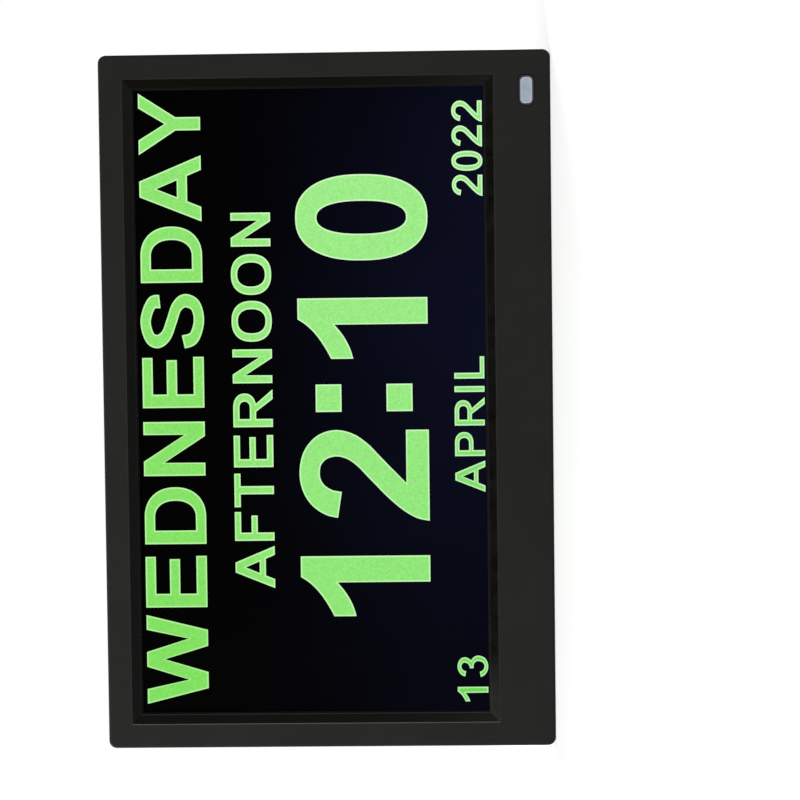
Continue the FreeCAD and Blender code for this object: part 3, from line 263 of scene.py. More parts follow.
# How closely brushed lines follow each other along X, Y and Z, on rolled sheet and drawn rod, on
# a pressed shell and on a turned head.
ROLLED, PRESSED, TURNED = (60.0, 2200.0, 2200.0), (900.0, 200.0, 900.0), (900.0, 300.0, 900.0)
ZONES = make_screen_zones()
WINDOW_EDGE = make_window_edge()
GRAIN = make_moulded_grain()
DUST = make_settled_dust()
BRUSHED = make_brushed_lines()
HANDLED = make_handled_film()
SPECKLE = make_speckle()


def use(tree, group, **inputs):
    """A shader group set into a material."""
    node = tree.nodes.new("ShaderNodeGroup")
    node.node_tree = group
    for name, value in inputs.items():
        feed(tree, node.inputs[name], value)
    return node.outputs


# ---------------------------------------------------------------- finishes

def start_finish(name, **constants):
    """A new material: its tree, its shader and the place on the object in metres."""
    material = bpy.data.materials.new(name)
    tree = empty_tree(material)
    shader = tree.nodes.new("ShaderNodeBsdfPrincipled")
    for label, value in constants.items():
        shader.inputs[label.replace("_", " ")].default_value = value
    add(tree, "ShaderNodeOutputMaterial", {"Surface": shader.outputs[0]})
    place = tree.nodes.new("ShaderNodeTexCoord").outputs["Object"]
    return material, tree, shader, place


def join(tree, shader, label, socket):
    """An input of the shader joined to a socket."""
    tree.links.new(socket, shader.inputs[label])


def relief(tree, shader, height, depth, strength=1.0):
    """A bump of so many metres on the shader."""
    inputs = {"Height": height, "Distance": depth, "Strength": strength}
    join(tree, shader, "Normal", add(tree, "ShaderNodeBump", inputs).outputs["Normal"])


DUST_TONE = (0.34, 0.33, 0.31)
# The case's tones: its faces, then the slope, the painted highlight along its rim and the painted
# highlight line at its foot. The last three catch more light at the clock's ends; that light is
# painted in as lighter copies of their tones.
FACE_TONES = (0.0119, 0.0119, 0.0106), (0.0140, 0.0140, 0.0126)
SLOPE_TONE, SLOPE_PAINTED_LIGHT_RIGHT = (0.0010, 0.0009, 0.0006), (0.0037, 0.0035, 0.0025)
SLOPE_PAINTED_LIGHT_LEFT = (0.0090, 0.0088, 0.0070)
EDGE_HIGHLIGHT_TONE, EDGE_HIGHLIGHT_LEFT = (0.0230, 0.0230, 0.0207), (0.0900, 0.0900, 0.0820)
FOOT_HIGHLIGHT_TONE, FOOT_HIGHLIGHT_LEFT = (0.0065, 0.0063, 0.0056), (0.0300, 0.0300, 0.0270)
GAP_SHADE = (0.0030, 0.0030, 0.0060)
# How wide the painted highlight along the slope's rim, the painted highlight line at its foot and
# the painted shade round the receiver window are.
EDGE_HIGHLIGHT_WIDTH, FOOT_HIGHLIGHT_WIDTH, SHADE_WIDTH = 0.45 * MM, 0.30 * MM, 0.20 * MM
SHADE_END = 0.60 * MM
# How far past the slope's rim, and how deep behind the glass, the slope's finish reaches.
SLOPE_REACH, FRONT_DEPTH = 0.05 * MM, 1.0 * MM
# The slope beside the faces: its share of their dust and relief, and how much less rough it is.
SLOPE_DUST, SLOPE_RELIEF, SLOPE_GLOSS = 0.75, 0.10, 0.42
CASE_RELIEF, CASE_ROUGH = 0.05 * MM, (0.60, 0.50)


def finish_housing():
    """Matt black moulded case: grained faces, and a smoother, darker slope round the screen."""
    material, tree, shader, place = start_finish("case plastic", Specular_IOR_Level=0.08)
    grain = use(tree, GRAIN, Place=place, Grains=2400.0)
    dust = use(tree, DUST, Place=place, Amount=0.11)["Mask"]
    hands = use(tree, HANDLED, Place=place, Size=24.0)["Mask"]
    window = use(tree, WINDOW_EDGE, Place=place)["Distance"]
    at = split(tree, place)

    # How far a place is outside the slope's rim, along X, along Z and by the nearer of the two.
    half_x = OPEN_HIGH.x + SLOPE_WIDTH + SLOPE_REACH
    half_z = (OPEN_HIGH.z - OPEN_LOW.z) / 2 + SLOPE_WIDTH + SLOPE_REACH
    above = calc(tree, "SUBTRACT", at["Z"], (OPEN_LOW.z + OPEN_HIGH.z) / 2)
    off_x = calc(tree, "SUBTRACT", calc(tree, "ABSOLUTE", at["X"]), half_x)
    off_z = calc(tree, "SUBTRACT", calc(tree, "ABSOLUTE", above), half_z)
    off = calc(tree, "MAXIMUM", off_x, off_z)

    front = calc(tree, "LESS_THAN", at["Y"], GLASS_FACE + FRONT_DEPTH)
    slope = product(tree, calc(tree, "LESS_THAN", off, 0.0), front)
    at_end = calc(tree, "GREATER_THAN", off_x, off_z)
    left_end = product(tree, calc(tree, "LESS_THAN", at["X"], -OPEN_HIGH.x), at_end)
    right_end = product(tree, calc(tree, "GREATER_THAN", at["X"], OPEN_HIGH.x), at_end)
    # Painted highlight on the faces along the slope's rim, where a rounded edge would catch the
    # light.
    edge = product(tree, span(tree, off, EDGE_HIGHLIGHT_WIDTH, 0.0), front,
                   calc(tree, "SUBTRACT", 1.0, slope))
    # Painted highlight line along the slope's foot, where the ledge there catches the light.
    line = product(tree, calc(tree, "LESS_THAN", off, FOOT_HIGHLIGHT_WIDTH - SLOPE_WIDTH), slope)
    shade = product(tree, span(tree, window, SHADE_END, SHADE_WIDTH), front)

    colour = blend(tree, span(tree, grain["Mottle"], *MOST), *FACE_TONES)
    # The slope's tone, with lighter copies at the clock's two ends as painted light from the
    # lamps.
    inner = blend(tree, left_end, blend(tree, right_end, SLOPE_TONE, SLOPE_PAINTED_LIGHT_RIGHT), SLOPE_PAINTED_LIGHT_LEFT)
    colour = blend(tree, slope, colour, inner)
    colour = blend(tree, shade, colour, GAP_SHADE)
    # The painted highlights along the slope's rim and foot, far brighter at the clock's left end.
    colour = blend(tree, edge, colour, blend(tree, left_end, EDGE_HIGHLIGHT_TONE, EDGE_HIGHLIGHT_LEFT))
    colour = blend(tree, line, colour, blend(tree, left_end, FOOT_HIGHLIGHT_TONE, FOOT_HIGHLIGHT_LEFT))
    dust = product(tree, dust, span(tree, slope, 0.0, 1.0, 1.0, SLOPE_DUST))
    join(tree, shader, "Base Color", blend(tree, dust, colour, DUST_TONE))
    rough = span(tree, hands, 0.0, 1.0, *CASE_ROUGH)
    join(tree, shader, "Roughness",
         calc(tree, "ADD", rough, calc(tree, "MULTIPLY", slope, -SLOPE_GLOSS)))
    height = product(tree, grain["Height"], span(tree, slope, 0.0, 1.0, 1.0, SLOPE_RELIEF))
    relief(tree, shader, height, CASE_RELIEF)
    return material


# The blue leak of the backlight: where it ends above and is full below, where it is strongest
# along the screen, how far it reaches from there, and its colour.
LEAK_END, LEAK_FULL, LEAK_MIDDLE, LEAK_REACH = 0.125, 0.018, 0.035, 0.150
LEAK_TONE = (0.0029, 0.0038, 0.0140)
UNLIT, WIPED = (0.0002, 0.0002, 0.0002), (0.0004, 0.0004, 0.0004)


def finish_screen():
    """Anti-glare panel: nearly black, with a weak blue leak from the light below."""
    material, tree, shader, place = start_finish("screen glass", Specular_IOR_Level=0.015,
                                                 Emission_Strength=1.0)
    hands = use(tree, HANDLED, Place=place, Size=18.0)["Mask"]
    at = split(tree, place)
    low = span(tree, at["Z"], LEAK_END, LEAK_FULL, smooth=True)
    aside = calc(tree, "ABSOLUTE", calc(tree, "SUBTRACT", at["X"], LEAK_MIDDLE))
    side = span(tree, aside, LEAK_REACH, 0.0, 0.35, 1.0, smooth=True)
    cloud = span(tree, noise(tree, place, 22.0), 0.25, 0.75, 0.75, 1.15)
    leak = product(tree, low, side, cloud, clamp=True)
    join(tree, shader, "Emission Color", blend(tree, leak, UNLIT, LEAK_TONE))
    join(tree, shader, "Base Color", blend(tree, hands, UNLIT, WIPED))
    join(tree, shader, "Roughness", span(tree, hands, 0.0, 1.0, 0.34, 0.42))
    relief(tree, shader, noise(tree, place, 5200.0, detail=1.0), 0.003 * MM, 0.3)
    return material


# The receiver window's tones, and how far inside its outline its pale line and its painted rim
# shade lie.
MILKY_TONES = (0.28, 0.33, 0.40), (0.34, 0.39, 0.46)
PALE_LINE, RIM_SHADE_TONE = (0.40, 0.43, 0.53), (0.003, 0.004, 0.013)
PALE_INNER, PALE_OUTER = (-1.05 * MM, -0.90 * MM), (-0.65 * MM, -0.75 * MM)
RIM_START, RIM_FULL = -0.60 * MM, -0.48 * MM


def finish_lens():
    """Milky infrared window, with a paler, bluer line near its edge and a dark rim of painted
    shade.
    """
    material, tree, shader, place = start_finish("receiver window", IOR=1.49, Coat_Weight=0.5)
    edge = use(tree, WINDOW_EDGE, Place=place)["Distance"]
    cloud = noise(tree, place, 260.0)
    line = product(tree, span(tree, edge, *PALE_INNER), span(tree, edge, *PALE_OUTER))
    colour = blend(tree, line, blend(tree, span(tree, cloud, *MOST), *MILKY_TONES), PALE_LINE)
    # Painted shade along the window's rim, where the wall of its recess shades it.
    colour = blend(tree, span(tree, edge, RIM_START, RIM_FULL), colour, RIM_SHADE_TONE)
    join(tree, shader, "Base Color", colour)
    join(tree, shader, "Roughness", span(tree, cloud, 0.2, 0.8, 0.16, 0.30))
    relief(tree, shader, cloud, 0.02 * MM, 0.4)
    return material


def finish_plain(name, tones, rough, bump=0.02 * MM, grains=1600.0, dust=0.0, **constants):
    """Moulded or sheet material: two near tones, uneven gloss, fine relief and a little dust."""
    material, tree, shader, place = start_finish(name, **constants)
    grain = use(tree, GRAIN, Place=place, Grains=grains)
    patches = noise(tree, place, 60.0, detail=3.0, rough=0.55)
    colour = blend(tree, span(tree, patches, *MOST), *tones)
    if dust:
        mask = use(tree, DUST, Place=place, Amount=dust)["Mask"]
        colour = blend(tree, mask, colour, DUST_TONE)
    join(tree, shader, "Base Color", colour)
    join(tree, shader, "Roughness", span(tree, grain["Mottle"], 0.25, 0.75, *rough))
    relief(tree, shader, grain["Height"], bump)
    return material


def finish_metal(name, tones, rough, lay=ROLLED):
    """Bare or plated metal with drawn or rolled lines."""
    material, tree, shader, place = start_finish(name, Metallic=1.0)
    lines = use(tree, BRUSHED, Place=place, Lay=lay)
    hands = use(tree, HANDLED, Place=place, Size=70.0)["Mask"]
    join(tree, shader, "Base Color", blend(tree, lines["Tone"], *tones))
    gloss = span(tree, lines["Tone"], 0.2, 0.8, *rough)
    join(tree, shader, "Roughness",
         calc(tree, "ADD", gloss, calc(tree, "MULTIPLY", hands, 0.08)))
    relief(tree, shader, lines["Height"], 0.006 * MM)
    return material


def finish_speckled(name, tones, rough, size=1800.0, **constants):
    """Sintered, cast or foamed material with small specks."""
    material, tree, shader, place = start_finish(name, **constants)
    specks = use(tree, SPECKLE, Place=place, Size=size)
    hands = use(tree, HANDLED, Place=place, Size=50.0)["Mask"]
    join(tree, shader, "Base Color", blend(tree, specks["Mask"], *tones))
    join(tree, shader, "Roughness", span(tree, hands, 0.0, 1.0, *rough))
    relief(tree, shader, specks["Height"], 0.02 * MM)
    return material


TRACK_RELIEF = 0.03 * MM
MASK_TONES, TRACK_TONE = ((0.008, 0.075, 0.026), (0.012, 0.10, 0.035)), (0.03, 0.20, 0.075)
VIA_TONE = (0.62, 0.60, 0.55)


def finish_board():
    """Green solder mask over copper tracks, with tinned vias."""
    material, tree, shader, place = start_finish("circuit board", Coat_Weight=0.35)
    upright = add(tree, "ShaderNodeMapping",
                  {"Vector": place, "Rotation": (math.radians(90), 0, 0)}).outputs[0]
    tracks = add(tree, "ShaderNodeTexBrick",
                 {"Vector": upright, "Scale": 330.0, "Mortar Size": 0.06, "Brick Width": 1.6,
                  "Row Height": 0.4, "Color1": (0, 0, 0, 1), "Color2": (0, 0, 0, 1),
                  "Mortar": (1, 1, 1, 1)}).outputs["Color"]
    tracks = add(tree, "ShaderNodeSeparateColor", {0: tracks}).outputs[0]
    here = span(tree, noise(tree, place, 70.0, detail=1.0), 0.46, 0.52)
    track = product(tree, tracks, here)
    cells = add(tree, "ShaderNodeTexVoronoi", {"Vector": place, "Scale": 210.0})
    via = span(tree, cells.outputs["Distance"], 0.11, 0.08)
    colour = blend(tree, span(tree, noise(tree, place, 60.0), *MOST), *MASK_TONES)
    colour = blend(tree, track, colour, TRACK_TONE)
    join(tree, shader, "Base Color", blend(tree, via, colour, VIA_TONE))
    join(tree, shader, "Metallic", via)
    join(tree, shader, "Roughness", span(tree, track, 0.0, 1.0, 0.38, 0.30))
    relief(tree, shader, calc(tree, "ADD", track, via), TRACK_RELIEF)
    return material


def finish_striped(name, tones, rough, pitch):
    """Flat cable: conductors side by side along X under a thin skin."""
    material, tree, shader, place = start_finish(name)
    turns = calc(tree, "MULTIPLY", split(tree, place)["X"], 2 * math.pi / pitch)
    strand = span(tree, calc(tree, "SINE", turns), -0.3, 0.3)
    skin = noise(tree, place, 300.0)
    join(tree, shader, "Base Color", blend(tree, strand, *tones))
    join(tree, shader, "Roughness", span(tree, skin, *MOST, *rough))
    relief(tree, shader, calc(tree, "ADD", strand, skin), 0.03 * MM)
    return material


def finish_lit(name, middle, top, foot, grains, depth):
    """Lit letters, mottled; each line's colours go from its left end to its right end."""
    material, tree, shader, place = start_finish(name, Base_Color=(0, 0, 0, 1),
                                                 Specular_IOR_Level=0.03, Emission_Strength=1.0)
    zones = use(tree, ZONES, Place=place)
    tone = blend(tree, zones["Right"], *middle)
    tone = blend(tree, zones["Top"], tone, blend(tree, zones["Right"], *top))
    tone = blend(tree, zones["Foot"], tone, blend(tree, zones["Right"], *foot))
    mottle = noise(tree, place, grains)
    strength = span(tree, mottle, *MOST, 1.0 - depth, 1.0 + depth)
    lit = add(tree, "ShaderNodeVectorMath", {0: tone, "Scale": strength}, operation="SCALE")
    join(tree, shader, "Emission Color", lit.outputs[0])
    join(tree, shader, "Roughness", span(tree, mottle, *MOST, 0.36, 0.42))
    return material


# Each finish by the name of its slot. The first pair is its two tones, the second the range of
# its roughness.
SLOT_FINISH = {
    "housing": finish_housing(),
    "lens": finish_lens(),
    "screen": finish_screen(),
    "circuit_board": finish_board(),
    "foam": finish_speckled(
        "gasket foam", ((0.004, 0.004, 0.004), (0.009, 0.009, 0.009)), (0.7, 0.9),
        size=3000.0, Specular_IOR_Level=0.1),
    "ferrite": finish_speckled(
        "sintered ferrite", ((0.030, 0.030, 0.034), (0.060, 0.060, 0.066)), (0.55, 0.75)),
    "magnet": finish_speckled(
        "plated magnet", ((0.14, 0.14, 0.15), (0.22, 0.22, 0.23)), (0.30, 0.45), Metallic=1.0),
    "film": finish_plain(
        "diffusing film", ((0.70, 0.72, 0.74), (0.78, 0.79, 0.80)), (0.40, 0.55),
        bump=0.004 * MM),
    "light_guide": finish_plain(
        "light guide", ((0.72, 0.77, 0.80), (0.80, 0.84, 0.86)), (0.06, 0.14),
        bump=0.002 * MM, IOR=1.49),
    "component": finish_plain(
        "moulded epoxy", ((0.010, 0.010, 0.011), (0.020, 0.020, 0.021)), (0.45, 0.62)),
    "connector": finish_plain(
        "moulded nylon", ((0.52, 0.49, 0.40), (0.62, 0.59, 0.50)), (0.42, 0.56)),
    "key": finish_plain(
        "satin key", ((0.0150, 0.0150, 0.0155), (0.0195, 0.0195, 0.0200)), (0.40, 0.50),
        bump=0.012 * MM, grains=3200.0, dust=0.10, Specular_IOR_Level=0.4),
    "paper": finish_plain(
        "paper cone", ((0.016, 0.016, 0.017), (0.034, 0.033, 0.032)), (0.8, 0.95),
        bump=0.06 * MM, grains=900.0, dust=0.1),
    "foot": finish_plain(
        "soft rubber", ((0.012, 0.012, 0.012), (0.022, 0.022, 0.021)), (0.72, 0.86),
        bump=0.03 * MM, grains=1400.0, dust=0.22),
    "sheet_steel": finish_metal(
        "zinc sheet", ((0.34, 0.35, 0.37), (0.50, 0.51, 0.52)), (0.34, 0.46)),
    "can": finish_metal(
        "drawn can", ((0.55, 0.55, 0.57), (0.72, 0.72, 0.74)), (0.22, 0.34)),
    "cell": finish_metal(
        "plated cell", ((0.50, 0.50, 0.49), (0.66, 0.66, 0.65)), (0.16, 0.28)),
    "contact": finish_metal(
        "plated contact", ((0.50, 0.35, 0.12), (0.66, 0.48, 0.20)), (0.20, 0.32)),
    "socket_shell": finish_metal(
        "socket shell", ((0.46, 0.46, 0.47), (0.62, 0.62, 0.63)), (0.24, 0.36), PRESSED),
    "screw": finish_metal(
        "black zinc screw", ((0.045, 0.045, 0.050), (0.090, 0.088, 0.092)), (0.28, 0.42), TURNED),
    "pin_steel": finish_metal(
        "drawn pin", ((0.42, 0.42, 0.44), (0.58, 0.58, 0.60)), (0.20, 0.32)),
    "flex": finish_striped(
        "polyimide flex", ((0.30, 0.115, 0.012), (0.46, 0.21, 0.035)), (0.24, 0.36),
        pitch=0.8 * MM),
    "ribbon": finish_striped(
        "flat ribbon", ((0.60, 0.61, 0.62), (0.42, 0.42, 0.40)), (0.38, 0.50), pitch=1.0 * MM),
}
READOUT = finish_lit(
    "lit letters", middle=((0.265, 0.785, 0.175), (0.350, 0.838, 0.255)),
    top=((0.224, 0.745, 0.120), (0.272, 0.785, 0.168)),
    foot=((0.160, 0.655, 0.098), (0.316, 0.776, 0.240)), grains=1500.0, depth=0.09)
READOUT_RIM = finish_lit(
    "lit letter edge", middle=((0.505, 0.935, 0.405), (0.630, 0.960, 0.525)),
    top=((0.435, 0.888, 0.305), (0.535, 0.952, 0.418)),
    foot=((0.412, 0.870, 0.345), (0.582, 0.957, 0.500)), grains=700.0, depth=0.03)
KEY_PRINT = finish_plain(
    "key print", ((0.52, 0.53, 0.54), (0.62, 0.63, 0.64)), (0.45, 0.58),
    bump=0.004 * MM, grains=2600.0)

for part in frame["record"]["subparts"]:
    mesh = frame["nodes"][part["node"]].data
    mesh.materials.clear()
    mesh.materials.append(SLOT_FINISH[part["material_slot"]])


# ---------------------------------------------------------------- letters, drawn by rule

# Letters are drawn in units of their height, from their left edge and their foot. The first two
# are how wide an upright and a level stroke are.
STEM, ARM = 0.205, 0.172
# How far the round letters reach past the straight ones, above and below.
OVERSHOOT = 0.008
# How square the turns are, where 2 is an ellipse.
BOWL_SQUARE, RING_SQUARE, ELLIPSE = 2.2, 2.35, 2.0
TURN_STEPS, CURVE_STEPS, MARK_STEPS = 32, 10, 28


def bar(x0, x1, low, high):
    """An upright rectangle."""
    return [(x0, low), (x1, low), (x1, high), (x0, high)]


def slash(foot, head, low=0.0, high=1.0, wide=0.225, wide_high=None):
    """A slanted stroke, its foot and head given by their left corners."""
    top = wide if wide_high is None else wide_high
    return [(foot, low), (foot + wide, low), (head + top, high), (head, high)]


def arc(centre, radius, start, end, square, steps=TURN_STEPS):
    """Points along part of a superellipse, angles in degrees."""
    points = []
    for step in range(steps + 1):
        angle = math.radians(start + (end - start) * step / steps)
        across, up = math.cos(angle), math.sin(angle)
        points.append((centre[0] + radius[0] * math.copysign(abs(across) ** (2 / square), across),
                       centre[1] + radius[1] * math.copysign(abs(up) ** (2 / square), up)))
    return points


def bowl(x0, turn, x1, low, high):
    """The round side of a D, P or R: two arms that turn into each other at the right."""
    middle, half = (low + high) / 2, (high - low) / 2
    outer = arc((turn, middle), (x1 - turn, half), 90, -90, BOWL_SQUARE)
    inner = arc((turn, middle), (x1 - turn - STEM, half - ARM), -90, 90, BOWL_SQUARE)
    return [(x0, high), *outer, (x0, low), (x0, low + ARM), *inner, (x0, high - ARM)]


def ring(x1, stem, arm):
    """An O or a nought, in two halves that meet at the top and the foot."""
    centre = (x1 / 2, 0.5)
    outer, inner = (x1 / 2, 0.5 + OVERSHOOT), (x1 / 2 - stem, 0.5 - arm)
    return [arc(centre, outer, start, start - 180, RING_SQUARE)
            + arc(centre, inner, start - 180, start, RING_SQUARE) for start in (90, 270)]


def smooth(knots):
    """A smooth path that passes through every knot."""
    path = []
    ends = [knots[0], *knots, knots[-1]]
    for index in range(len(knots) - 1):
        a, b, c, d = (Vector(ends[index + k]) for k in range(4))
        last = index == len(knots) - 2
        for step in range(CURVE_STEPS + last):
            t = step / CURVE_STEPS
            path.append(0.5 * (2 * b + (c - a) * t + (2 * a - 5 * b + 4 * c - d) * t * t
                               + (3 * b - a - 3 * c + d) * t ** 3))
    return path


def ribbon(knots, stem=STEM, arm=ARM):
    """A curved stroke through a few knots, drawn as by a nib that is wider across than up."""
    path = smooth(knots)
    left, right = [], []
    for index, point in enumerate(path):
        along = (path[min(index + 1, len(path) - 1)] - path[max(index - 1, 0)]).normalized()
        nib = Vector((-along.y * stem / 2, along.x * arm / 2))
        left.append(tuple(point + nib))
        right.append(tuple(point - nib))
    return left + right[::-1]


# The knots that the middle of each curved stroke runs through, from its upper end to its lower.
S_KNOTS = [(0.708, 0.695), (0.675, 0.835), (0.42, 0.931), (0.175, 0.868), (0.112, 0.735),
           (0.205, 0.600), (0.415, 0.510), (0.625, 0.425), (0.715, 0.290), (0.640, 0.125),
           (0.414, 0.071), (0.165, 0.155), (0.100, 0.330)]
TWO_KNOTS = [(0.130, 0.690), (0.150, 0.775), (0.205, 0.856), (0.285, 0.906), (0.382, 0.921),
             (0.490, 0.898), (0.572, 0.826), (0.604, 0.720), (0.580, 0.610), (0.515, 0.515),
             (0.430, 0.433), (0.345, 0.352)]
THREE_TOP = [(0.112, 0.715), (0.135, 0.800), (0.200, 0.880), (0.325, 0.925), (0.450, 0.892),
             (0.520, 0.815), (0.525, 0.715), (0.470, 0.610), (0.360, 0.545)]
THREE_LOW = [(0.340, 0.545), (0.470, 0.505), (0.555, 0.415), (0.575, 0.300), (0.525, 0.160),
             (0.430, 0.090), (0.320, 0.070), (0.205, 0.105), (0.120, 0.190), (0.095, 0.280)]
# The outer side of the 2's heel, and the lower and upper sides of the 1's flag.
TWO_HEEL = [(0.0, 0.0), (0.018, 0.088), (0.060, 0.170), (0.118, 0.248), (0.191, 0.329),
            (0.274, 0.409)]
ONE_FLAG_LOW = [(0.0, 0.572), (0.075, 0.595), (0.145, 0.628), (0.207, 0.669), (0.262, 0.715)]
ONE_FLAG_TOP = [(0.306, 1.0), (0.266, 0.940), (0.218, 0.888), (0.163, 0.842), (0.105, 0.803),
                (0.052, 0.772), (0.0, 0.745)]
POST = bar(0, STEM, 0, 1)

# Each glyph: its strokes, the width of its ink, and the room to its left and right.
GLYPHS = {
    "A": ([slash(0.0, 0.375), slash(0.775, 0.390), bar(0.25, 0.75, 0.226, 0.396)],
          1.0, 0.003, 0.003),
    "D": ([POST, bowl(0.10, 0.40, 0.845, 0, 1)], 0.845, 0.101, 0.062),
    "E": ([POST, bar(0.1, 0.752, 1 - ARM, 1), bar(0.1, 0.715, 0.436, 0.608),
           bar(0.1, 0.76, 0, ARM + 0.004)], 0.76, 0.101, 0.071),
    "F": ([POST, bar(0.1, 0.685, 1 - ARM, 1), bar(0.1, 0.60, 0.415, 0.585)],
          0.685, 0.101, 0.067),
    "I": ([POST], STEM, 0.101, 0.101),
    "L": ([POST, bar(0.1, 0.70, 0, ARM)], 0.70, 0.101, 0.05),
    "N": ([bar(0, 0.197, 0, 1), bar(0.609, 0.806, 0, 1), slash(0.588, 0.0, wide=0.218)],
          0.806, 0.101, 0.101),
    "O": (ring(0.967, 0.21, 0.165), 0.967, 0.062, 0.062),
    "P": ([POST, bowl(0.10, 0.42, 0.76, 0.375, 1)], 0.76, 0.101, 0.07),
    "R": ([POST, bowl(0.10, 0.46, 0.80, 0.415, 1),
           slash(0.655, 0.33, 0.0, 0.46, wide=0.245, wide_high=0.20)], 0.90, 0.101, 0.02),
    "S": ([ribbon(S_KNOTS)], 0.82, 0.05, 0.062),
    "T": ([bar(0, 0.795, 1 - ARM, 1), bar(0.2975, 0.5025, 0, 1)], 0.795, 0.029, 0.029),
    "W": ([slash(0.225, 0.0, wide=0.19, wide_high=0.222),
           slash(0.265, 0.545, wide=0.20, wide_high=0.19),
           slash(0.845, 0.575, wide=0.20, wide_high=0.19),
           slash(0.895, 1.088, wide=0.19, wide_high=0.222)], 1.31, 0.003, 0.003),
    "Y": ([slash(0.3655, 0.0, 0.40, 1.0, wide=0.205, wide_high=0.228),
           slash(0.3655, 0.708, 0.40, 1.0, wide=0.205, wide_high=0.228),
           bar(0.3655, 0.5705, 0, 0.44)], 0.936, 0.003, 0.003),
    "0": (ring(0.659, 0.205, 0.158), 0.659, 0.058, 0.058),
    "1": ([bar(0.262, 0.467, 0, 0.85),
           [*smooth(ONE_FLAG_LOW), (0.467, 0.80), (0.467, 1.0), *smooth(ONE_FLAG_TOP)]],
          0.467, 0.100, 0.225),
    "2": ([ribbon(TWO_KNOTS, arm=0.158), bar(0.15, 0.703, 0, 0.178),
           [*smooth(TWO_HEEL), (0.35, 0.36), (0.416, 0.295), (0.295, 0.178), (0.30, 0.0)]],
          0.703, 0.038, 0.045),
    "3": ([ribbon(THREE_TOP, 0.188, 0.150), ribbon(THREE_LOW, 0.192, 0.150),
           bar(0.265, 0.42, 0.462, 0.612)], 0.671, 0.040, 0.045),
    ":": ([bar(0, 0.213, 0.122, 0.324), bar(0, 0.213, 0.668, 0.868)], 0.213, 0.096, 0.093),
}


def lay_word(word, left, right, low, high, taper):
    """The strokes of a word in its box, its first letters wider than its last by a taper."""
    pen, placed = -GLYPHS[word[0]][2], []
    for letter in word:
        strokes, width, before, after = GLYPHS[letter]
        pen += before
        placed.append((strokes, pen))
        pen += width + after
    natural = pen - GLYPHS[word[-1]][3]

    def set_down(x, y):
        share = x / natural
        share += taper * share * (1 - share)
        return left + share * (right - left), low + y * (high - low)

    return [[[set_down(start + x, y) for x, y in stroke] for stroke in strokes]
            for strokes, start in placed]


# ---------------------------------------------------------------- outlines made into flat meshes

# Corners nearer than this are one, and a bend whose sine is smaller than this is straight.
SAME_SPOT, STRAIGHT = 0.03 * MM, 0.004
# How exactly crossings are found, and the shortest squared side that has a direction.
CROSSING, NO_LENGTH = 1e-7, 1e-14
# How far a sharp corner may move when it is drawn in, in distances: a convex and a hollow one.
CONVEX_REACH, HOLLOW_REACH = 5.0, 1.6
# The share of the distance that a point of the drawn-in outline has to keep.
KEPT_SHARE = 0.9


def turned_left(outline):
    """The outline, run anticlockwise."""
    area = sum(a[0] * b[1] - b[0] * a[1] for a, b in zip(outline, outline[1:] + outline[:1]))
    return outline if area > 0 else outline[::-1]


def turns_round(x, y, loop):
    """How many times an outline runs anticlockwise round a point."""
    turns = 0
    for a, b in zip(loop, loop[1:] + loop[:1]):
        side = (b[0] - a[0]) * (y - a[1]) - (b[1] - a[1]) * (x - a[0])
        if a[1] <= y < b[1] and side > 0:
            turns += 1
        elif b[1] <= y < a[1] and side < 0:
            turns -= 1
    return turns


def fill_loops(loops):
    """Triangles over closed outlines, where these together run anticlockwise round them."""
    corners, sides = [], []
    for loop in loops:
        start, count = len(corners), len(loop)
        sides.extend((start + i, start + (i + 1) % count) for i in range(count))
        corners.extend(Vector(p) for p in loop)
    points, _, faces = delaunay_2d_cdt(corners, sides, [], 0, CROSSING)[:3]
    kept = []
    for face in faces:
        x = sum(points[i].x for i in face) / len(face)
        y = sum(points[i].y for i in face) / len(face)
        if sum(turns_round(x, y, loop) for loop in loops) > 0:
            kept.append(face)
    return points, kept


def without_specks(loop):
    """The outline without points that lie close together or in the middle of a straight side."""
    spaced = []
    for point in loop:
        if not spaced or (point - spaced[-1]).length > SAME_SPOT:
            spaced.append(point)
    while len(spaced) > 1 and (spaced[0] - spaced[-1]).length < SAME_SPOT:
        spaced.pop()
    kept = []
    for before, here, after in zip(spaced[-1:] + spaced[:-1], spaced, spaced[1:] + spaced[:1]):
        first, second = (here - before).normalized(), (after - here).normalized()
        if abs(first.cross(second)) > STRAIGHT or first.dot(second) < 0:
            kept.append(here)
    return kept


def outlines(strokes):
    """The closed outlines of strokes that overlap, with the inside of the letter on their left."""
    points, faces = fill_loops([turned_left(stroke) for stroke in strokes])
    edges = set()
    for face in faces:
        a, b, c = (points[i] for i in face[:3])
        if (b - a).cross(c - a) < 0:
            face = face[::-1]
        edges.update(zip(face, face[1:] + face[:1]))
    ahead = {}
    for a, b in edges:
        if (b, a) not in edges:
            ahead.setdefault(a, []).append(b)
    loops = []
    while ahead:
        here, loop = min(ahead), []
        while here in ahead:
            loop.append(points[here])
            following = ahead[here].pop()
            if not ahead[here]:
                del ahead[here]
            here = following
        loops.append(loop)
    return [loop for loop in map(without_specks, loops) if len(loop) > 2]


def room(point, loop):
    """How far a point is from an outline."""
    nearest = math.inf
    for a, b in zip(loop, loop[1:] + loop[:1]):
        side = b - a
        along = (point - a).dot(side) / max(side.length_squared, NO_LENGTH)
        along = min(max(along, 0.0), 1.0)
        nearest = min(nearest, (point - a - side * along).length)
    return nearest


def drawn_in(loop, distance):
    """The outline moved to its left by a distance, without what tight bends would turn over."""
    moved = []
    for before, here, after in zip(loop[-1:] + loop[:-1], loop, loop[1:] + loop[:1]):
        first, second = (here - before).normalized(), (after - here).normalized()
        inward = Vector((-first.y - second.y, first.x + second.x))
        furthest = CONVEX_REACH if first.cross(second) > 0 else HOLLOW_REACH
        reach = furthest if inward.length < 2 / furthest else 2 / inward.length
        moved.append(here + inward.normalized() * distance * reach)
    return [point for point in moved if room(point, loop) > KEPT_SHARE * distance]


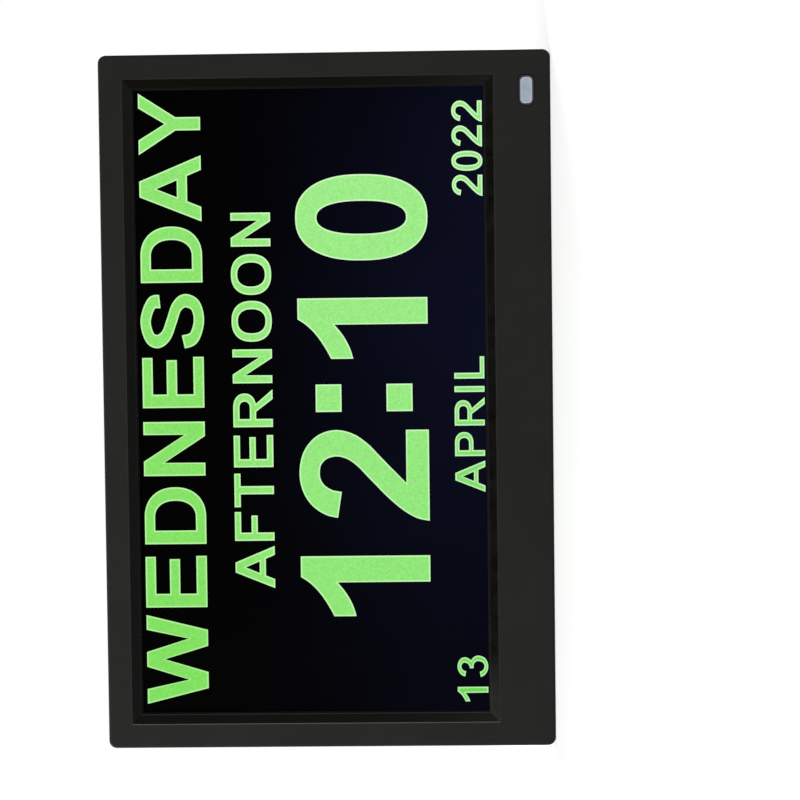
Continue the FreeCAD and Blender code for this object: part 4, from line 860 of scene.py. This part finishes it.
def draw_flat(name, letters, place, fill, edge, rim=0.0, trim=0.0):
    """A mesh of flat letters, each trimmed all round and given a narrow ring along its edge."""
    mesh = bpy.data.meshes.new(name)
    drawing = bmesh.new()
    for strokes in letters:
        outer = outlines(strokes)
        if trim:
            outer = [drawn_in(loop, trim) for loop in outer]
        areas = [outer]
        if rim:
            inner = [drawn_in(loop, rim) for loop in outer]
            areas = [inner, outer + [loop[::-1] for loop in inner]]
        for index, loops in enumerate(areas):
            points, faces = fill_loops(loops)
            corners = [drawing.verts.new((p.x, p.y, 0)) for p in points]
            for face in faces:
                drawing.faces.new([corners[i] for i in face]).material_index = index
    drawing.normal_update()
    down = [face for face in drawing.faces if face.normal.z < 0]
    bmesh.ops.reverse_faces(drawing, faces=down)
    drawing.transform(place)
    drawing.to_mesh(mesh)
    drawing.free()
    mesh.materials.append(fill)
    mesh.materials.append(edge)
    obj = bpy.data.objects.new(name, mesh)
    scene.collection.objects.link(obj)
    return obj


# ---------------------------------------------------------------- what the screen shows

# Each line: its words, its left and right ends, its foot and head and its trim in millimetres,
# and its taper.
LINES = {
    "weekday": ("WEDNESDAY", -108.2, 110.4, 124.30, 146.36, 0.06, 0.026),
    "day_part": ("AFTERNOON", -66.8, 67.6, 99.85, 114.0, 0.12, 0.012),
    "time": ("12:10", -77.1, 80.75, 44.15, 90.55, 0.05, 0.0),
    "day_number": ("13", -108.2, -91.7, 23.85, 34.8, 0.16, 0.0),
    "month": ("APRIL", -33.0, 15.5, 24.15, 34.85, 0.16, 0.0),
    "year": ("2022", 72.4, 106.2, 24.15, 34.95, 0.16, 0.0),
}
RIM = 0.52 * MM
READOUT_GAP = 0.06 * MM
FACING_FRONT = Matrix(((1, 0, 0, 0), (0, 0, -1, GLASS_FACE - READOUT_GAP), (0, 1, 0, 0),
                       (0, 0, 0, 1)))
for label, (word, left, right, low, high, trim, taper) in LINES.items():
    letters = lay_word(word, (left - trim) * MM, (right + trim) * MM, (low - trim) * MM,
                       (high + trim) * MM, taper)
    line = draw_flat(f"readout_{label}", letters, FACING_FRONT, READOUT, READOUT_RIM, RIM,
                     trim * MM)
    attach(line, "housing")


# ---------------------------------------------------------------- marks on the keys

def turned(outline, degrees):
    """The outline turned anticlockwise round the middle of the key."""
    across, up = math.cos(math.radians(degrees)), math.sin(math.radians(degrees))
    return [(x * across - y * up, x * up + y * across) for x, y in outline]


def scaled(outline, size):
    """The outline at its real size, from one drawn in units of that size."""
    return [(x * size, y * size) for x, y in outline]


def power_mark(size):
    """A ring that is open at the top, with a short bar in the gap."""
    inside = size * 0.72
    outer = arc((0, 0), (size, size), 125, 415, ELLIPSE, MARK_STEPS)
    inner = arc((0, 0), (inside, inside), 415, 125, ELLIPSE, MARK_STEPS)
    return [outer + inner, scaled(bar(-0.14, 0.14, 0.2, 1.15), size)]


def menu_mark(size):
    """Three short lines."""
    return [scaled(bar(-0.8, 0.8, level - 0.13, level + 0.13), size)
            for level in (-0.58, 0, 0.58)]


def arrow_mark(size, degrees):
    """A triangle that points up before it is turned."""
    return [turned(scaled([(-0.78, -0.5), (0.78, -0.5), (0, 0.76)], size), degrees)]


def tick_mark(size):
    """A tick in one stroke."""
    return [scaled([(-0.85, 0.05), (-0.62, 0.28), (-0.22, -0.16), (0.66, 0.72), (0.88, 0.48),
                    (-0.22, -0.62)], size)]


ARROW_SIZE = 1.3 * MM
KEY_MARKS = {
    "power": power_mark(1.25 * MM),
    "menu": menu_mark(1.35 * MM),
    "left": arrow_mark(ARROW_SIZE, 90),
    "up": arrow_mark(ARROW_SIZE, 0),
    "down": arrow_mark(ARROW_SIZE, 180),
    "right": arrow_mark(ARROW_SIZE, -90),
    "ok": tick_mark(1.4 * MM),
}
PRINT_LIFT = 0.015 * MM
for key, strokes in KEY_MARKS.items():
    low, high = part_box(f"key_{key}")
    centre = (low + high) / 2
    facing_back = Matrix(((-1, 0, 0, centre.x), (0, 0, 1, high.y + PRINT_LIFT),
                          (0, 1, 0, centre.z), (0, 0, 0, 1)))
    mark = draw_flat(f"key_mark_{key}", [strokes], facing_back, KEY_PRINT, KEY_PRINT)
    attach(mark, f"{key}_key")


# ---------------------------------------------------------------- floor, world, lamps and camera

WHITE = (1, 1, 1, 1)
FLOOR_TONE, FLOOR_LIFT = (0.55, 0.55, 0.55, 1), 0.45
# How far from the clock the floor starts to turn plain white, and where it has; its half width
# and how far it lies below the clock.
FADE_START, FADE_END = 0.30, 0.95
FLOOR_REACH, FLOOR_DROP = 4.0, 0.1 * MM
# The world's light on the clock, and what gloss mirrors of it in front of the clock.
AMBIENT, FRONT_MIRRORED = 0.30, 0.06
# How far towards +Y a mirrored ray goes where the world's front starts to turn into its back, and
# where it has.
BEHIND_START, BEHIND_END = -0.12, 0.45


def make_floor():
    """A pale floor that keeps the shadow near the clock and runs out into the white world."""
    material = bpy.data.materials.new("pale floor")
    tree = empty_tree(material)
    place = tree.nodes.new("ShaderNodeTexCoord").outputs["Object"]
    paths = tree.nodes.new("ShaderNodeLightPath").outputs
    away = add(tree, "ShaderNodeVectorMath", {0: place}, operation="LENGTH").outputs["Value"]
    fade = span(tree, away, FADE_START, FADE_END, smooth=True)
    seen = calc(tree, "ADD", calc(tree, "ADD", paths["Is Camera Ray"], paths["Is Glossy Ray"]),
                paths["Is Transmission Ray"], clamp=True)
    lift = calc(tree, "MULTIPLY", seen, FLOOR_LIFT)
    card = add(tree, "ShaderNodeBsdfDiffuse", {"Color": FLOOR_TONE}).outputs[0]
    glow = add(tree, "ShaderNodeEmission", {"Color": WHITE, "Strength": lift}).outputs[0]
    near = add(tree, "ShaderNodeAddShader", {0: card, 1: glow}).outputs[0]
    far = add(tree, "ShaderNodeEmission", {"Color": WHITE, "Strength": seen}).outputs[0]
    surface = add(tree, "ShaderNodeMixShader", {0: fade, 1: near, 2: far}).outputs[0]
    add(tree, "ShaderNodeOutputMaterial", {"Surface": surface})
    mesh = bpy.data.meshes.new("floor")
    corners = bar(-FLOOR_REACH, FLOOR_REACH, -FLOOR_REACH, FLOOR_REACH)
    mesh.from_pydata([(x, y, 0) for x, y in corners], [], [(0, 1, 2, 3)])
    mesh.materials.append(material)
    floor = bpy.data.objects.new("floor", mesh)
    floor.location = (0, 0, -FLOOR_DROP)
    scene.collection.objects.link(floor)


def make_world():
    """White where it is looked at and behind the clock, dimmer where it lights and in front."""
    world = bpy.data.worlds.new("studio")
    scene.world = world
    tree = empty_tree(world)
    paths = tree.nodes.new("ShaderNodeLightPath").outputs
    way = tree.nodes.new("ShaderNodeTexCoord").outputs["Generated"]
    behind = span(tree, split(tree, way)["Y"], BEHIND_START, BEHIND_END, smooth=True)
    bounce = calc(tree, "ADD", paths["Is Glossy Ray"], paths["Is Transmission Ray"], clamp=True)
    mirrored = product(tree, bounce, span(tree, behind, 0.0, 1.0, FRONT_MIRRORED, 1.0))
    ambient = product(tree, calc(tree, "SUBTRACT", 1.0, bounce), AMBIENT)
    strength = calc(tree, "MAXIMUM", paths["Is Camera Ray"],
                    calc(tree, "ADD", mirrored, ambient))
    sky = add(tree, "ShaderNodeBackground", {"Color": WHITE, "Strength": strength}).outputs[0]
    add(tree, "ShaderNodeOutputWorld", {"Surface": sky})


# Each lamp: its place, the length of its sides and its power. All of them face the clock's middle.
LAMPS = {
    "key_lamp": ((-0.98, -0.98, 0.98), 0.9, 27),
    "fill_lamp": ((0.90, -1.05, 0.85), 0.9, 5),
    "overhead_lamp": ((-0.44, -0.15, 0.95), 0.25, 0.6),
    "back_lamp": ((0.35, 1.20, 1.05), 1.0, 24),
}
MIDDLE = Vector((0, 0, 0.08))


def make_lamp(name, place, side, power):
    """A square lamp that faces the middle of the clock."""
    data = bpy.data.lights.new(name, "AREA")
    data.shape = "SQUARE"
    data.size = side
    data.energy = power
    lamp = bpy.data.objects.new(name, data)
    lamp.location = place
    lamp.rotation_mode = "QUATERNION"
    lamp.rotation_quaternion = (MIDDLE - Vector(place)).to_track_quat("-Z", "Y")
    scene.collection.objects.link(lamp)


# The camera's place, its sensor and lens in millimetres, and its turns in degrees from square on.
CAMERA_PLACE = (0.0199, -0.612, 0.0423)
SENSOR, LENS = 36.0, 76.17
ROLL, YAW, PITCH = 0.639, -1.139, 1.865
NEAREST, FURTHEST = 0.01, 20.0


def make_camera():
    """The clock is looked at from in front, nearly square on, with its right end up."""
    data = bpy.data.cameras.new("camera")
    data.sensor_width, data.lens = SENSOR, LENS
    data.clip_start, data.clip_end = NEAREST, FURTHEST
    camera = bpy.data.objects.new("camera", data)
    rows = Matrix(((0, 0, -1), (1, 0, 0), (0, -1, 0)))
    for degrees, axis in ((PITCH, "X"), (YAW, "Y"), (ROLL, "Z")):
        rows = Matrix.Rotation(math.radians(degrees), 3, axis) @ rows
    camera.rotation_mode = "QUATERNION"
    camera.rotation_quaternion = rows.transposed().to_quaternion()
    camera.location = CAMERA_PLACE
    scene.collection.objects.link(camera)
    scene.camera = camera


make_floor()
make_world()
for name, (place, side, power) in LAMPS.items():
    make_lamp(name, place, side, power)
make_camera()
scene.view_settings.view_transform = "Standard"
